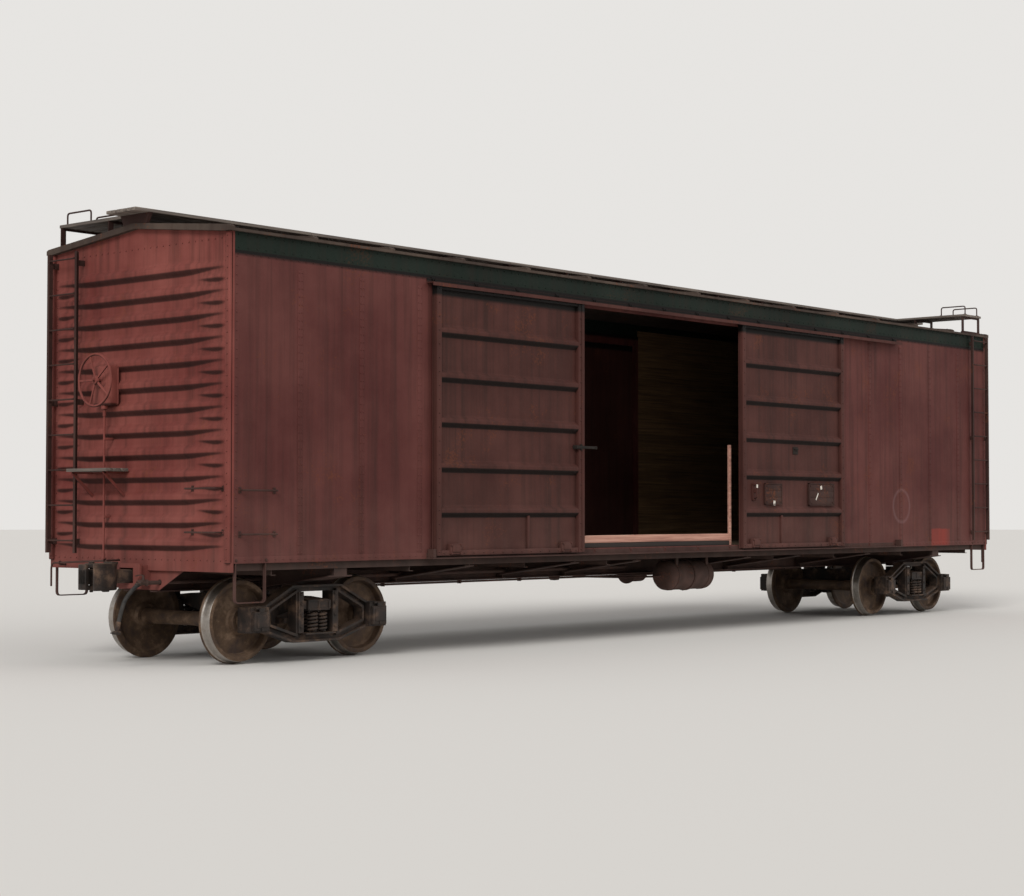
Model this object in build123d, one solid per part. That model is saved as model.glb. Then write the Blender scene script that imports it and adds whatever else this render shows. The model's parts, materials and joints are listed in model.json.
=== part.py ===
from build123d import *
import math
import os

# A fifty-foot railroad boxcar with a double doorway in each side, in millimetres.
# +X runs along the track, -Y is the side whose doorway stands open, and +Z is up.
# The origin is midway between the couplers, level with the tips of the wheel flanges.
# The hand brake is on the end at -X.

# Wheels and trucks
RAIL_TOP = 25
WHEEL_RADIUS = 419
FLANGE_RADIUS = WHEEL_RADIUS + RAIL_TOP
AXLE_HEIGHT = FLANGE_RADIUS
WHEEL_BACK = 677
RIM_WIDTH = 140
JOURNAL_CENTRE = 990
JOURNAL_RADIUS = 70
TRUCK_CENTRE = 6225
HALF_WHEELBASE = 838
CENTRE_PLATE_RADIUS = 178
CENTRE_PLATE_HEIGHT = 680

# Body shell
SIDE_OUTER = 1450
SHEET_INNER = 1410
LINING_INNER = 1390
END_LINING_INNER = 7695
END_SHEET_INNER = 7715
END_SHEET_OUTER = 7752
RIB_CREST = 7800
SHEET_BOTTOM = 1045
FLOOR_BOTTOM = 1067
FLOOR_TOP = 1124
FLOOR_EDGE = 1121
BAND_BOTTOM = 4110
EAVE_BOTTOM = 4290
EAVE_TOP = 4318
EAVE_OUTER = 1485
RIDGE_BOTTOM = 4440
RIDGE_TOP = 4470
ROOF_HALF_LENGTH = 7810
CAP_HEIGHT = 28

# Underframe
SILL_HALF_WIDTH = 170
SILL_BOTTOM = 739
SILL_WEB = 11
SIDE_SILL_INNER = 1398
SIDE_SILL_BOTTOM = 972
END_SILL_LIP = 960
CROSS_TOP = 1017
COUPLER_HEIGHT = 901
STRIKER_FACE = 7880

# Doorways and doors
DOORWAY_HALF = 2438
POST_WIDTH = 60
LINTEL = 3975
DOOR_WIDTH = 2500
DOOR_BOTTOM = 1075
DOOR_TOP = 4010
DOOR_INNER = 1466
DOOR_PANEL = 1492
DOOR_FACE = 1540
DOOR_STILE = 75
DOOR_PANELS = 6
OPEN_EDGE = 2425
SHUT_EDGE = 4
NEAR_RIGHT_EDGE = 900
TRACK_HALF_LENGTH = 5000

# Signs of the two sides and of the two ends
NEAR, FAR = -1, 1
LEFT, RIGHT = -1, 1


def block(x0, x1, y0, y1, z0, z1):
    """A box between two corners, given in either order along each axis."""
    centre = Pos((x0 + x1) / 2, (y0 + y1) / 2, (z0 + z1) / 2)
    return centre * Box(abs(x1 - x0), abs(y1 - y0), abs(z1 - z0))


def bar_along(axis, points, start, end):
    """A bar of the given outline that runs from start to end along one axis."""
    plane = {"x": Plane.YZ, "y": Plane.XZ, "z": Plane.XY}[axis]
    way = {"x": (1, 0, 0), "y": (0, 1, 0), "z": (0, 0, 1)}[axis]
    low, high = min(start, end), max(start, end)
    face = plane * make_face(Polyline(*points, close=True))
    return Pos(*(low * part for part in way)) * extrude(face, high - low, dir=way)


def rounded_along(axis, corners, start, end):
    """The same, from a table of corners: two coordinates and a fillet radius."""
    plane = {"x": Plane.YZ, "y": Plane.XZ, "z": Plane.XY}[axis]
    way = {"x": (1, 0, 0), "y": (0, 1, 0), "z": (0, 0, 1)}[axis]
    low, high = min(start, end), max(start, end)
    points = [(u, v) for u, v, radius in corners]
    radii = [radius for u, v, radius in corners]
    face = plane * make_face(FilletPolyline(*points, radius=radii, close=True))
    return Pos(*(low * part for part in way)) * extrude(face, high - low, dir=way)


def round_bar(start, end, radius):
    """A round bar between two points."""
    start, end = Vector(*start), Vector(*end)
    along = Plane(origin=start, z_dir=end - start)
    return extrude(along * Circle(radius), (end - start).length)


def bent_bar(points, radius):
    """A bar of eight sides along straight runs, as for a grab iron."""
    path = Polyline(*points)
    start = Plane(origin=path @ 0, z_dir=path % 0)
    return sweep(start * RegularPolygon(radius, 8), path, transition=Transition.RIGHT)


def to_end(shape, end):
    """A shape made for the right end, turned half round for the left end."""
    return shape if end == RIGHT else Rot(0, 0, 180) * shape


def to_side(shape, side):
    """A shape made for the far side, mirrored for the near side."""
    return shape if side == FAR else mirror(shape, about=Plane.XZ)


def save(name, *shapes):
    """Write one sub-part, whose pieces are solids that don't touch."""
    solids = [solid for shape in shapes for solid in shape.solids()]
    export_step(Compound(solids), f"parts/{name}.step")


os.makedirs("parts", exist_ok=True)


# Underframe: a hat-shaped centre sill of two Z bars, open below
sill_flange = 98
sill_outline = [
    (-SILL_HALF_WIDTH, FLOOR_BOTTOM),
    (SILL_HALF_WIDTH, FLOOR_BOTTOM),
    (SILL_HALF_WIDTH, SILL_BOTTOM + 14),
    (SILL_HALF_WIDTH + sill_flange, SILL_BOTTOM + 14),
    (SILL_HALF_WIDTH + sill_flange, SILL_BOTTOM),
    (SILL_HALF_WIDTH - SILL_WEB, SILL_BOTTOM),
    (SILL_HALF_WIDTH - SILL_WEB, FLOOR_BOTTOM - 12),
    (-SILL_HALF_WIDTH + SILL_WEB, FLOOR_BOTTOM - 12),
    (-SILL_HALF_WIDTH + SILL_WEB, SILL_BOTTOM),
    (-SILL_HALF_WIDTH - sill_flange, SILL_BOTTOM),
    (-SILL_HALF_WIDTH - sill_flange, SILL_BOTTOM + 14),
    (-SILL_HALF_WIDTH, SILL_BOTTOM + 14),
]
END_SILL_WEB = END_SHEET_INNER - 12

# Brake pipe: it runs through the cross members, and through the sill from side to side
PIPE_Y = 330
PIPE_Z = 840
PIPE_RADIUS = 21
PIPE_END = 7900
PIPE_ROOM = PIPE_RADIUS + 8
pipe_hole = round_bar((0, PIPE_Y, PIPE_Z), (PIPE_END, PIPE_Y, PIPE_Z), PIPE_ROOM)
pipe_hole += round_bar((0, -PIPE_Y, PIPE_Z), (-PIPE_END, -PIPE_Y, PIPE_Z), PIPE_ROOM)
centre_sill = bar_along("x", sill_outline, -END_SILL_WEB, END_SILL_WEB)
centre_sill -= round_bar((0, -200, PIPE_Z), (0, 200, PIPE_Z), PIPE_ROOM)
save("centre_sill", centre_sill)


ARM_PLATE = 12


def cross_arm(x, side, deep_at_sill, deep_at_side, web, flange):
    """One tapered arm between the centre sill and a side sill."""
    inner, outer = SILL_HALF_WIDTH, SIDE_SILL_INNER
    above = SILL_BOTTOM + 14
    start = inner + sill_flange
    bottom = [(inner, above), (start, above), (start, deep_at_sill), (outer, deep_at_side)]
    arm = [(inner, CROSS_TOP), *bottom, (outer, CROSS_TOP)]
    plates = bar_along("x", arm, x - web / 2, x + web / 2)
    foot = [
        (start, deep_at_sill),
        (outer, deep_at_side),
        (outer, deep_at_side + ARM_PLATE),
        (start, deep_at_sill + ARM_PLATE),
    ]
    plates += bar_along("x", foot, x - flange / 2, x + flange / 2)
    plates += block(x - flange / 2, x + flange / 2, inner, outer, CROSS_TOP - ARM_PLATE, CROSS_TOP)
    return to_side(plates, side) - pipe_hole


# Body bolsters, each with its centre plate and two side bearings
BOLSTER_OUTER_BOTTOM = 886
BOLSTER_WEB = 180
BOLSTER_FLANGE = 330
SIDE_BEARING_Y = 635
SIDE_BEARING_HALF = 60
SIDE_BEARING_BOTTOM = 730
PLATE_PAD_HALF = 230
PLATE_PAD_DEPTH = 22
bolsters = []
for end in (LEFT, RIGHT):
    x = end * TRUCK_CENTRE
    for side in (NEAR, FAR):
        arm = cross_arm(x, side, SILL_BOTTOM, BOLSTER_OUTER_BOTTOM, BOLSTER_WEB, BOLSTER_FLANGE)
        bearing = block(
            x - SIDE_BEARING_HALF,
            x + SIDE_BEARING_HALF,
            side * (SIDE_BEARING_Y - SIDE_BEARING_HALF),
            side * (SIDE_BEARING_Y + SIDE_BEARING_HALF),
            SIDE_BEARING_BOTTOM,
            SIDE_BEARING_BOTTOM + 130,
        )
        bolsters.append(arm + bearing)
    plate = Pos(x, 0, CENTRE_PLATE_HEIGHT)
    up = (Align.CENTER, Align.CENTER, Align.MIN)
    disc = plate * Cylinder(CENTRE_PLATE_RADIUS, SILL_BOTTOM - CENTRE_PLATE_HEIGHT, align=up)
    pad = -PLATE_PAD_HALF, PLATE_PAD_HALF
    disc += block(x + pad[0], x + pad[1], *pad, SILL_BOTTOM - PLATE_PAD_DEPTH, SILL_BOTTOM)
    bolsters.append(disc)
save("body_bolsters", *bolsters)

# Crossbearers beneath the doorways and lighter crossties between them
BEARER_BOTTOM = 790
BEARER_OUTER_BOTTOM = 948
BEARER_WEB = 12
BEARER_FLANGE = 150
BEARER_PLACES = (-4250, -2400, -1200, 1200, 2400, 4250)
CROSSTIE_PLACES = (-7180, -5210, -3320, -1800, 1800, 3320, 5180, 7150)
CROSSTIE_FLANGE = 60
CROSSTIE_DEPTH = 100
CROSSTIE_PLATE = 8
cross_members = [
    cross_arm(x, side, BEARER_BOTTOM, BEARER_OUTER_BOTTOM, BEARER_WEB, BEARER_FLANGE)
    for x in BEARER_PLACES
    for side in (NEAR, FAR)
]
tie_bottom = CROSS_TOP - CROSSTIE_DEPTH
for x in CROSSTIE_PLACES:
    channel = [
        (x, CROSS_TOP),
        (x + CROSSTIE_FLANGE, CROSS_TOP),
        (x + CROSSTIE_FLANGE, CROSS_TOP - CROSSTIE_PLATE),
        (x + CROSSTIE_PLATE, CROSS_TOP - CROSSTIE_PLATE),
        (x + CROSSTIE_PLATE, tie_bottom + CROSSTIE_PLATE),
        (x + CROSSTIE_FLANGE, tie_bottom + CROSSTIE_PLATE),
        (x + CROSSTIE_FLANGE, tie_bottom),
        (x, tie_bottom),
    ]
    for side in (NEAR, FAR):
        ends = side * SILL_HALF_WIDTH, side * SIDE_SILL_INNER
        cross_members.append(bar_along("y", channel, *ends))
save("cross_members", *cross_members)

# Floor stringers lie on the cross members, and the floor lies on them
STRINGER_ROWS = (-930, -480, 480, 930)
STRINGER_HALF_WIDTH = 38
stringers = [
    block(
        -END_SILL_WEB,
        END_SILL_WEB,
        y - STRINGER_HALF_WIDTH,
        y + STRINGER_HALF_WIDTH,
        CROSS_TOP,
        FLOOR_BOTTOM,
    )
    for y in STRINGER_ROWS
]
save("floor_stringers", *stringers)

# End sills: a channel across each end, with the striker casting that the coupler passes
STRIKER_BOTTOM = 800
STRIKER_TOP = 1010
STRIKER_HALF_WIDTH = 185
STRIKER_RIM = 20
STRIKER_RIM_DEPTH = 25
RIM_HALF_WIDTH = STRIKER_HALF_WIDTH + 30
END_SILL_BOTTOM = 760
COUPLER_WAY_HALF_WIDTH = 110
COUPLER_WAY_BOTTOM = 831
COUPLER_WAY_TOP = 985
striker = block(
    END_SHEET_INNER,
    STRIKER_FACE,
    -STRIKER_HALF_WIDTH,
    STRIKER_HALF_WIDTH,
    STRIKER_BOTTOM,
    STRIKER_TOP,
)
striker += block(
    STRIKER_FACE - STRIKER_RIM_DEPTH,
    STRIKER_FACE,
    -RIM_HALF_WIDTH,
    RIM_HALF_WIDTH,
    STRIKER_BOTTOM - STRIKER_RIM,
    STRIKER_TOP + STRIKER_RIM,
)
coupler_way = block(
    END_SILL_WEB - 10,
    STRIKER_FACE + 10,
    -COUPLER_WAY_HALF_WIDTH,
    COUPLER_WAY_HALF_WIDTH,
    COUPLER_WAY_BOTTOM,
    COUPLER_WAY_TOP,
)
end_sill = block(
    END_SILL_WEB,
    END_SHEET_INNER,
    -SIDE_SILL_INNER,
    SIDE_SILL_INNER,
    END_SILL_BOTTOM,
    FLOOR_BOTTOM,
)
for side in (NEAR, FAR):
    below = END_SILL_BOTTOM - 10
    corner = [(300, below), (SIDE_OUTER, below), (SIDE_OUTER, END_SILL_LIP), (700, END_SILL_LIP)]
    end_sill -= bar_along("x", [(side * y, z) for y, z in corner], END_SILL_WEB - 10, END_SHEET_INNER + 10)
end_sill += block(END_SHEET_INNER, END_SHEET_OUTER, -SIDE_OUTER, SIDE_OUTER, END_SILL_LIP, SHEET_BOTTOM)
end_sill += striker
end_sill -= coupler_way
end_sill -= pipe_hole
save("end_sills", to_end(end_sill, LEFT), end_sill)

# Side sills: an angle behind the foot of each side, under the edge of the floor
side_sills = []
for side in (NEAR, FAR):
    web = block(-END_SILL_WEB, END_SILL_WEB, SIDE_SILL_INNER, SHEET_INNER, SIDE_SILL_BOTTOM, FLOOR_TOP)
    web += block(-END_SILL_WEB, END_SILL_WEB, 1340, SIDE_SILL_INNER, 1055, FLOOR_BOTTOM)
    side_sills.append(to_side(web, side))
save("side_sills", *side_sills)

# The planks stand a little proud between the linings, where the load goes
LOAD_HALF_LENGTH = 7690
LOAD_HALF_WIDTH = 1341
floor_edges = -END_SHEET_INNER, END_SHEET_INNER, -SIDE_SILL_INNER, SIDE_SILL_INNER
load_edges = -LOAD_HALF_LENGTH, LOAD_HALF_LENGTH, -LOAD_HALF_WIDTH, LOAD_HALF_WIDTH
floor = block(*floor_edges, FLOOR_BOTTOM, FLOOR_EDGE)
floor += block(*load_edges, FLOOR_EDGE, FLOOR_TOP)
save("floor", floor)

# Side walls: four steel panels with lapped vertical seams
WALL_START = DOORWAY_HALF + POST_WIDTH
SEAMS = 5
SEAM_WIDTH = 70
SEAM_PROUD = 4
wall_length = END_SHEET_INNER - WALL_START
wall = block(WALL_START, END_SHEET_INNER, SHEET_INNER, SIDE_OUTER, SHEET_BOTTOM, BAND_BOTTOM)
for number in range(1, SEAMS + 1):
    x = WALL_START + wall_length * number / (SEAMS + 1)
    wall += block(
        x - SEAM_WIDTH / 2,
        x + SEAM_WIDTH / 2,
        SIDE_OUTER,
        SIDE_OUTER + SEAM_PROUD,
        SHEET_BOTTOM + 75,
        LINTEL + 10,
    )
for side, side_name in ((NEAR, "near"), (FAR, "far")):
    for end, end_name in ((LEFT, "left"), (RIGHT, "right")):
        panel = wall if end == RIGHT else mirror(wall, about=Plane.YZ)
        save(f"{side_name}_{end_name}_wall", to_side(panel, side))

# Wooden lining inside the sides and ends
lining = []
for end in (LEFT, RIGHT):
    lining.append(
        block(end * END_LINING_INNER, end * END_SHEET_INNER, -1388, 1388, FLOOR_EDGE, EAVE_BOTTOM - 10)
    )
    for side in (NEAR, FAR):
        lining.append(
            block(
                end * WALL_START,
                end * LOAD_HALF_LENGTH,
                side * LINING_INNER,
                side * SHEET_INNER,
                FLOOR_TOP,
                EAVE_BOTTOM - 90,
            )
        )
save("lining", *lining)

# Door posts, and the header and threshold between them
posts, headers = [], []
for side in (NEAR, FAR):
    for end in (LEFT, RIGHT):
        edges = end * DOORWAY_HALF, end * WALL_START
        post = block(*edges, side * LINING_INNER, side * SIDE_OUTER, FLOOR_TOP, BAND_BOTTOM)
        post += block(*edges, side * SHEET_INNER, side * SIDE_OUTER, SHEET_BOTTOM, FLOOR_TOP)
        posts.append(post)
    span = -DOORWAY_HALF, DOORWAY_HALF
    headers.append(block(*span, side * 1400, side * SIDE_OUTER, LINTEL, BAND_BOTTOM))
    headers.append(
        block(*span, side * SHEET_INNER, side * SIDE_OUTER, SHEET_BOTTOM, FLOOR_TOP)
    )
save("door_posts", *posts)
save("door_headers_and_thresholds", *headers)

# Side plates: the band below each eave, set a little behind the sheets
BAND_OUTER = SIDE_OUTER - 5
side_plates = [
    block(-END_SHEET_INNER, END_SHEET_INNER, side * 1412, side * BAND_OUTER, BAND_BOTTOM, EAVE_BOTTOM)
    for side in (NEAR, FAR)
]
save("side_plates", *side_plates)

# Ends: a pressed sheet with tapered ribs, between corner posts
RIBS = 13
RIB_LOW = 1235
RIB_PITCH = 228
RIB_HEIGHT = RIB_CREST - END_SHEET_OUTER
RIB_TIP = 0.22
rib_section = [
    # depth from the sheet, height from the rib's middle line
    (-3, -80),
    (0, -78),
    (0.62 * RIB_HEIGHT, -54),
    (RIB_HEIGHT, -22),
    (RIB_HEIGHT, 22),
    (0.62 * RIB_HEIGHT, 54),
    (0, 78),
    (-3, 80),
]


def tapered_bar(stations, section):
    """A bar across the end whose section is scaled by a share at each station."""
    rings = []
    for y, share in stations:
        ring = [(END_SHEET_OUTER + depth * share, y, high * share) for depth, high in section]
        rings.append(ring)
    faces = [Face(Wire.make_polygon(ring)) for ring in (rings[0], rings[-1])]
    for one, other in zip(rings, rings[1:]):
        for now in range(len(section)):
            after = (now + 1) % len(section)
            corners = [one[now], one[after], other[after], other[now]]
            faces.append(Face(Wire.make_polygon(corners)))
    return Solid(Shell(faces))


gable = [
    (-SIDE_OUTER, SHEET_BOTTOM),
    (SIDE_OUTER, SHEET_BOTTOM),
    (SIDE_OUTER, EAVE_BOTTOM),
    (1400, EAVE_BOTTOM),
    (0, RIDGE_BOTTOM),
    (-1400, EAVE_BOTTOM),
    (-SIDE_OUTER, EAVE_BOTTOM),
]
end_wall = bar_along("x", gable, END_SHEET_INNER, END_SHEET_OUTER)
for side in (NEAR, FAR):
    corner = [
        (END_SHEET_OUTER - 20, side * SIDE_OUTER, 0),
        (END_SHEET_OUTER + 28, side * SIDE_OUTER, 26),
        (END_SHEET_OUTER + 28, side * (SIDE_OUTER - 70), 0),
        (END_SHEET_OUTER - 20, side * (SIDE_OUTER - 70), 0),
    ]
    end_wall += rounded_along("z", corner, SHEET_BOTTOM, EAVE_BOTTOM)
full_rib = tapered_bar([(-1330, RIB_TIP), (-760, 1), (760, 1), (1330, RIB_TIP)], rib_section)
for number in range(RIBS):
    end_wall += Pos(0, 0, RIB_LOW + RIB_PITCH * number) * full_rib
save("left_end", to_end(end_wall, LEFT))
save("right_end", end_wall)

# Roof: two pitched sheets under raised seam caps
roof_outline = [
    (-EAVE_OUTER, EAVE_BOTTOM),
    (-1400, EAVE_BOTTOM),
    (0, RIDGE_BOTTOM),
    (1400, EAVE_BOTTOM),
    (EAVE_OUTER, EAVE_BOTTOM),
    (EAVE_OUTER, EAVE_TOP),
    (0, RIDGE_TOP),
    (-EAVE_OUTER, EAVE_TOP),
]
ROOF_PANELS = 14
CAP_WIDTH = 64
cap_outline = [
    (-EAVE_OUTER, EAVE_BOTTOM + 10),
    (0, RIDGE_TOP - 15),
    (EAVE_OUTER, EAVE_BOTTOM + 10),
    (EAVE_OUTER, EAVE_TOP + CAP_HEIGHT - 12),
    (EAVE_OUTER - 30, EAVE_TOP + CAP_HEIGHT + 3),
    (0, RIDGE_TOP + CAP_HEIGHT),
    (-EAVE_OUTER + 30, EAVE_TOP + CAP_HEIGHT + 3),
    (-EAVE_OUTER, EAVE_TOP + CAP_HEIGHT - 12),
]
roof = bar_along("x", roof_outline, -ROOF_HALF_LENGTH, ROOF_HALF_LENGTH)
roof_pitch = math.degrees(math.atan2(RIDGE_TOP - EAVE_TOP, EAVE_OUTER))
panel_length = 2 * ROOF_HALF_LENGTH / ROOF_PANELS
cap_places = []
for number in range(ROOF_PANELS + 1):
    x = -ROOF_HALF_LENGTH + CAP_WIDTH / 2 + (2 * ROOF_HALF_LENGTH - CAP_WIDTH) * number / ROOF_PANELS
    cap_places.append(x)
    roof += bar_along("x", cap_outline, x - CAP_WIDTH / 2, x + CAP_WIDTH / 2)
raised = loft(
    [
        Plane.XY * Rectangle(panel_length - 220, 1160),
        Plane.XY.offset(16) * Rectangle(panel_length - 320, 1060),
    ],
    ruled=True,
)
for first, second in zip(cap_places, cap_places[1:]):
    for side in (NEAR, FAR):
        slope = Rot(-side * roof_pitch, 0, 0)
        middle = (first + second) / 2, side * EAVE_OUTER / 2, (EAVE_TOP + RIDGE_TOP) / 2 - 1
        roof += Pos(*middle) * slope * raised
save("roof", roof)

# Running boards on saddles over the seam caps, with a branch to each ladder
BOARD_BOTTOM = 4590
BOARD_TOP = 4625
BOARD_WIDTH = 150
BOARD_GAP = 15
BOARD_HALF_LENGTH = 7980
WALK_HALF = 1.5 * BOARD_WIDTH + BOARD_GAP
cap_slope = (RIDGE_TOP - EAVE_TOP - 3) / (EAVE_OUTER - 30)


def cap_top(y):
    """The height of a seam cap's top at one place across the roof."""
    return RIDGE_TOP + CAP_HEIGHT - abs(y) * cap_slope


saddle_outline = [
    (-WALK_HALF, BOARD_BOTTOM),
    (WALK_HALF, BOARD_BOTTOM),
    (WALK_HALF - 20, BOARD_BOTTOM - 30),
    (180, cap_top(180)),
    (0, cap_top(0)),
    (-180, cap_top(180)),
    (-WALK_HALF + 20, BOARD_BOTTOM - 30),
]
saddles = [bar_along("x", saddle_outline, x - 22, x + 22) for x in cap_places]
boards = [
    block(
        -BOARD_HALF_LENGTH,
        BOARD_HALF_LENGTH,
        row * (BOARD_WIDTH + BOARD_GAP) - BOARD_WIDTH / 2,
        row * (BOARD_WIDTH + BOARD_GAP) + BOARD_WIDTH / 2,
        BOARD_BOTTOM,
        BOARD_TOP,
    )
    for row in (-1, 0, 1)
]
BRANCH_PLACES = (7230, 7420, 7610)
for end in (LEFT, RIGHT):
    for x in BRANCH_PLACES:
        branch = block(x - 85, x + 85, -1420, -WALK_HALF - 10, BOARD_BOTTOM, BOARD_TOP)
        boards.append(to_end(branch, end))
    for y in (-1380, -560):
        foot = cap_top(y) - CAP_HEIGHT
        leg_height = BOARD_BOTTOM - foot
        leg = block(7135, 7705, y - 18, y + 18, foot - 4, foot + 30)
        leg += block(7135, 7705, y - 5, y + 5, foot, BOARD_BOTTOM)
        leg -= block(7200, 7640, y - 6, y + 6, foot + 40, foot + leg_height - 25)
        leg -= roof
        saddles.append(to_end(max(leg.solids(), key=lambda piece: piece.volume), end))
save("running_boards", *boards)
save("running_board_saddles", *saddles)

# Ladders: one on each side and one on each end, at the corner nearest the branch walk
LADDER_WIDTH = 450
LADDER_BOTTOM = 1120
LADDER_TOP = 4282
LADDER_X = 7480
END_LADDER_Y = -1120
LADDER_BASE = RIB_CREST + 10
STILE_THICKNESS = 10
STILE_BACK = -20
STILE_FRONT = -68
FOOT_HALF_HEIGHT = 30
FOOT_INSET = 120
RUNGS = 9
RUNG_PITCH = 370
RUNG_LOW = 1250
RUNG_RADIUS = 10
RUNG_DEPTH = -58


def ladder_stiles():
    """Both stiles of a ladder against the plane y = 0, with feet that reach it."""
    stiles = []
    middle = (LADDER_BOTTOM + LADDER_TOP) / 2
    for x in (-LADDER_WIDTH / 2, LADDER_WIDTH / 2):
        faces = x - STILE_THICKNESS / 2, x + STILE_THICKNESS / 2
        stile = block(*faces, STILE_FRONT, STILE_BACK, LADDER_BOTTOM, LADDER_TOP)
        for z in (LADDER_BOTTOM + FOOT_INSET, middle, LADDER_TOP - FOOT_INSET):
            stile += block(*faces, STILE_BACK, 0, z - FOOT_HALF_HEIGHT, z + FOOT_HALF_HEIGHT)
        stiles.append(stile)
    return stiles


def ladder_rungs():
    """The rungs of such a ladder, each a bar between the stiles."""
    reach = (LADDER_WIDTH - STILE_THICKNESS) / 2
    rung_plane = Plane(origin=(-reach, RUNG_DEPTH, 0), z_dir=(1, 0, 0))
    bar = extrude(rung_plane * RegularPolygon(RUNG_RADIUS, 8), 2 * reach)
    return [Pos(0, 0, RUNG_LOW + RUNG_PITCH * number) * bar for number in range(RUNGS)]


def largest(shape):
    """The largest solid of a shape that a cut may have left in pieces."""
    return max(shape.solids(), key=lambda piece: piece.volume)


side_place = Pos(LADDER_X, -SIDE_OUTER, 0)
end_place = Pos(LADDER_BASE, END_LADDER_Y, 0) * Rot(0, 0, 90)
near_wall = mirror(wall, about=Plane.XZ)
side_stiles = [largest(side_place * stile - near_wall) for stile in ladder_stiles()]
end_stiles = []
for stile in ladder_stiles():
    stile = end_place * stile
    box = stile.bounding_box()
    for z in (1240, 2730, 4220):
        low, high = z - FOOT_HALF_HEIGHT, z + FOOT_HALF_HEIGHT
        stile += block(END_SHEET_OUTER, LADDER_BASE + 2, box.min.Y, box.max.Y, low, high)
    end_stiles.append(largest(stile - end_wall))
for name, made in (("side_ladders", side_stiles), ("end_ladders", end_stiles)):
    save(name, *[to_end(stile, end) for end in (LEFT, RIGHT) for stile in made])
rungs = [place * rung for place in (side_place, end_place) for rung in ladder_rungs()]
save("ladder_rungs", *[to_end(rung, end) for end in (LEFT, RIGHT) for rung in rungs])

# Grab irons on the corners that have no ladder, and on the branch walks
GRAB_RADIUS = 10
GRAB_HEIGHTS = (1330, 1760)
SIDE_GRAB_ENDS = (-7640, -7190)
SIDE_GRAB_REACH = SIDE_OUTER + 62
END_GRAB_ENDS = (880, 1330)
END_GRAB_REACH = END_SHEET_OUTER + 115
END_GRAB_RISE = 19
ROOF_GRAB_ENDS = (-1390, -980)
ROOF_GRAB_TOP = BOARD_TOP + 130
grabs = []
for end in (LEFT, RIGHT):
    for z in GRAB_HEIGHTS:
        outer, inner = SIDE_GRAB_ENDS
        feet = [(outer, -SIDE_OUTER, z), (outer, -SIDE_GRAB_REACH, z)]
        feet += [(inner, -SIDE_GRAB_REACH, z), (inner, -SIDE_OUTER, z)]
        grabs.append(to_end(bent_bar(feet, GRAB_RADIUS), end))
        inner, outer = END_GRAB_ENDS
        level = z + END_GRAB_RISE
        feet = [(END_SHEET_OUTER, inner, level), (END_GRAB_REACH, inner, level)]
        feet += [(END_GRAB_REACH, outer, level), (END_SHEET_OUTER, outer, level)]
        grabs.append(to_end(bent_bar(feet, GRAB_RADIUS) - end_wall, end))
    for x in BRANCH_PLACES[::2]:
        outer, inner = ROOF_GRAB_ENDS
        feet = [(x, outer, BOARD_TOP), (x, outer, ROOF_GRAB_TOP)]
        feet += [(x, inner, ROOF_GRAB_TOP), (x, inner, BOARD_TOP)]
        grabs.append(to_end(bent_bar(feet, GRAB_RADIUS), end))
save("grab_irons", *grabs)

# Sill steps at the four corners
STEP_INNER = 7290
STEP_OUTER = 7690
STEP_BOTTOM = 655
STEP_STRAP = 12
STEP_BACK = 1412
STEP_FRONT = 1448
steps = []
for end in (LEFT, RIGHT):
    for side in (NEAR, FAR):
        inner, outer = STEP_INNER + STEP_STRAP, STEP_OUTER - STEP_STRAP
        high, tread = SHEET_BOTTOM, STEP_BOTTOM + STEP_STRAP
        outline = [(STEP_INNER, high), (STEP_INNER, STEP_BOTTOM), (STEP_OUTER, STEP_BOTTOM), (STEP_OUTER, high)]
        outline += [(outer, high), (outer, tread), (inner, tread), (inner, high)]
        step = bar_along("y", outline, STEP_BACK, STEP_FRONT)
        step = to_side(step, side)
        steps.append(step if end == RIGHT else mirror(step, about=Plane.YZ))
save("sill_steps", *steps)

# Couplers: the shank, head and guard arm, and the knuckle on its pin
PIN_X = 8235
PIN_Y = -100
PIN_RADIUS = 20
HUB_RADIUS = 58
PULLING_FACE = 8350
HEAD_HALF_HEIGHT = 135
LUG_GAP = 85
KNUCKLE_HALF_HEIGHT = 78
NOSE_HALF_HEIGHT = 128
SHANK_BACK = 7250
SHANK_FRONT = 8060
SHANK_HALF_WIDTH = 64
SHANK_HALF_HEIGHT = 70
head_plan = [
    (8040, -64, 0),
    (8120, -150, 30),
    (8215, -172, 30),
    (8290, -150, 30),
    (8290, -60, 10),
    (8225, -30, 20),
    (8225, 60, 25),
    (8300, 105, 30),
    (8395, 130, 10),
    (8405, 168, 10),
    (8290, 175, 40),
    (8120, 140, 40),
    (8040, 64, 0),
]
head = rounded_along("z", head_plan, COUPLER_HEIGHT - HEAD_HALF_HEIGHT, COUPLER_HEIGHT + HEAD_HALF_HEIGHT)
knuckle_room = Pos(PIN_X, PIN_Y, COUPLER_HEIGHT) * Cylinder(HUB_RADIUS + 8, 2 * LUG_GAP)
gap = COUPLER_HEIGHT - LUG_GAP, COUPLER_HEIGHT + LUG_GAP
knuckle_room += block(PIN_X, PULLING_FACE - 20, -180, 30, *gap)
knuckle_room += block(PIN_X - 30, PIN_X, -180, -150, *gap)
head -= knuckle_room
shank = block(
    SHANK_BACK,
    SHANK_FRONT,
    -SHANK_HALF_WIDTH,
    SHANK_HALF_WIDTH,
    COUPLER_HEIGHT - SHANK_HALF_HEIGHT,
    COUPLER_HEIGHT + SHANK_HALF_HEIGHT,
)
pin = Pos(PIN_X, PIN_Y, COUPLER_HEIGHT) * Cylinder(PIN_RADIUS, 2 * HEAD_HALF_HEIGHT + 20)
coupler = head + shank + pin
save("coupler_bodies", to_end(coupler, LEFT), coupler)

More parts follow.
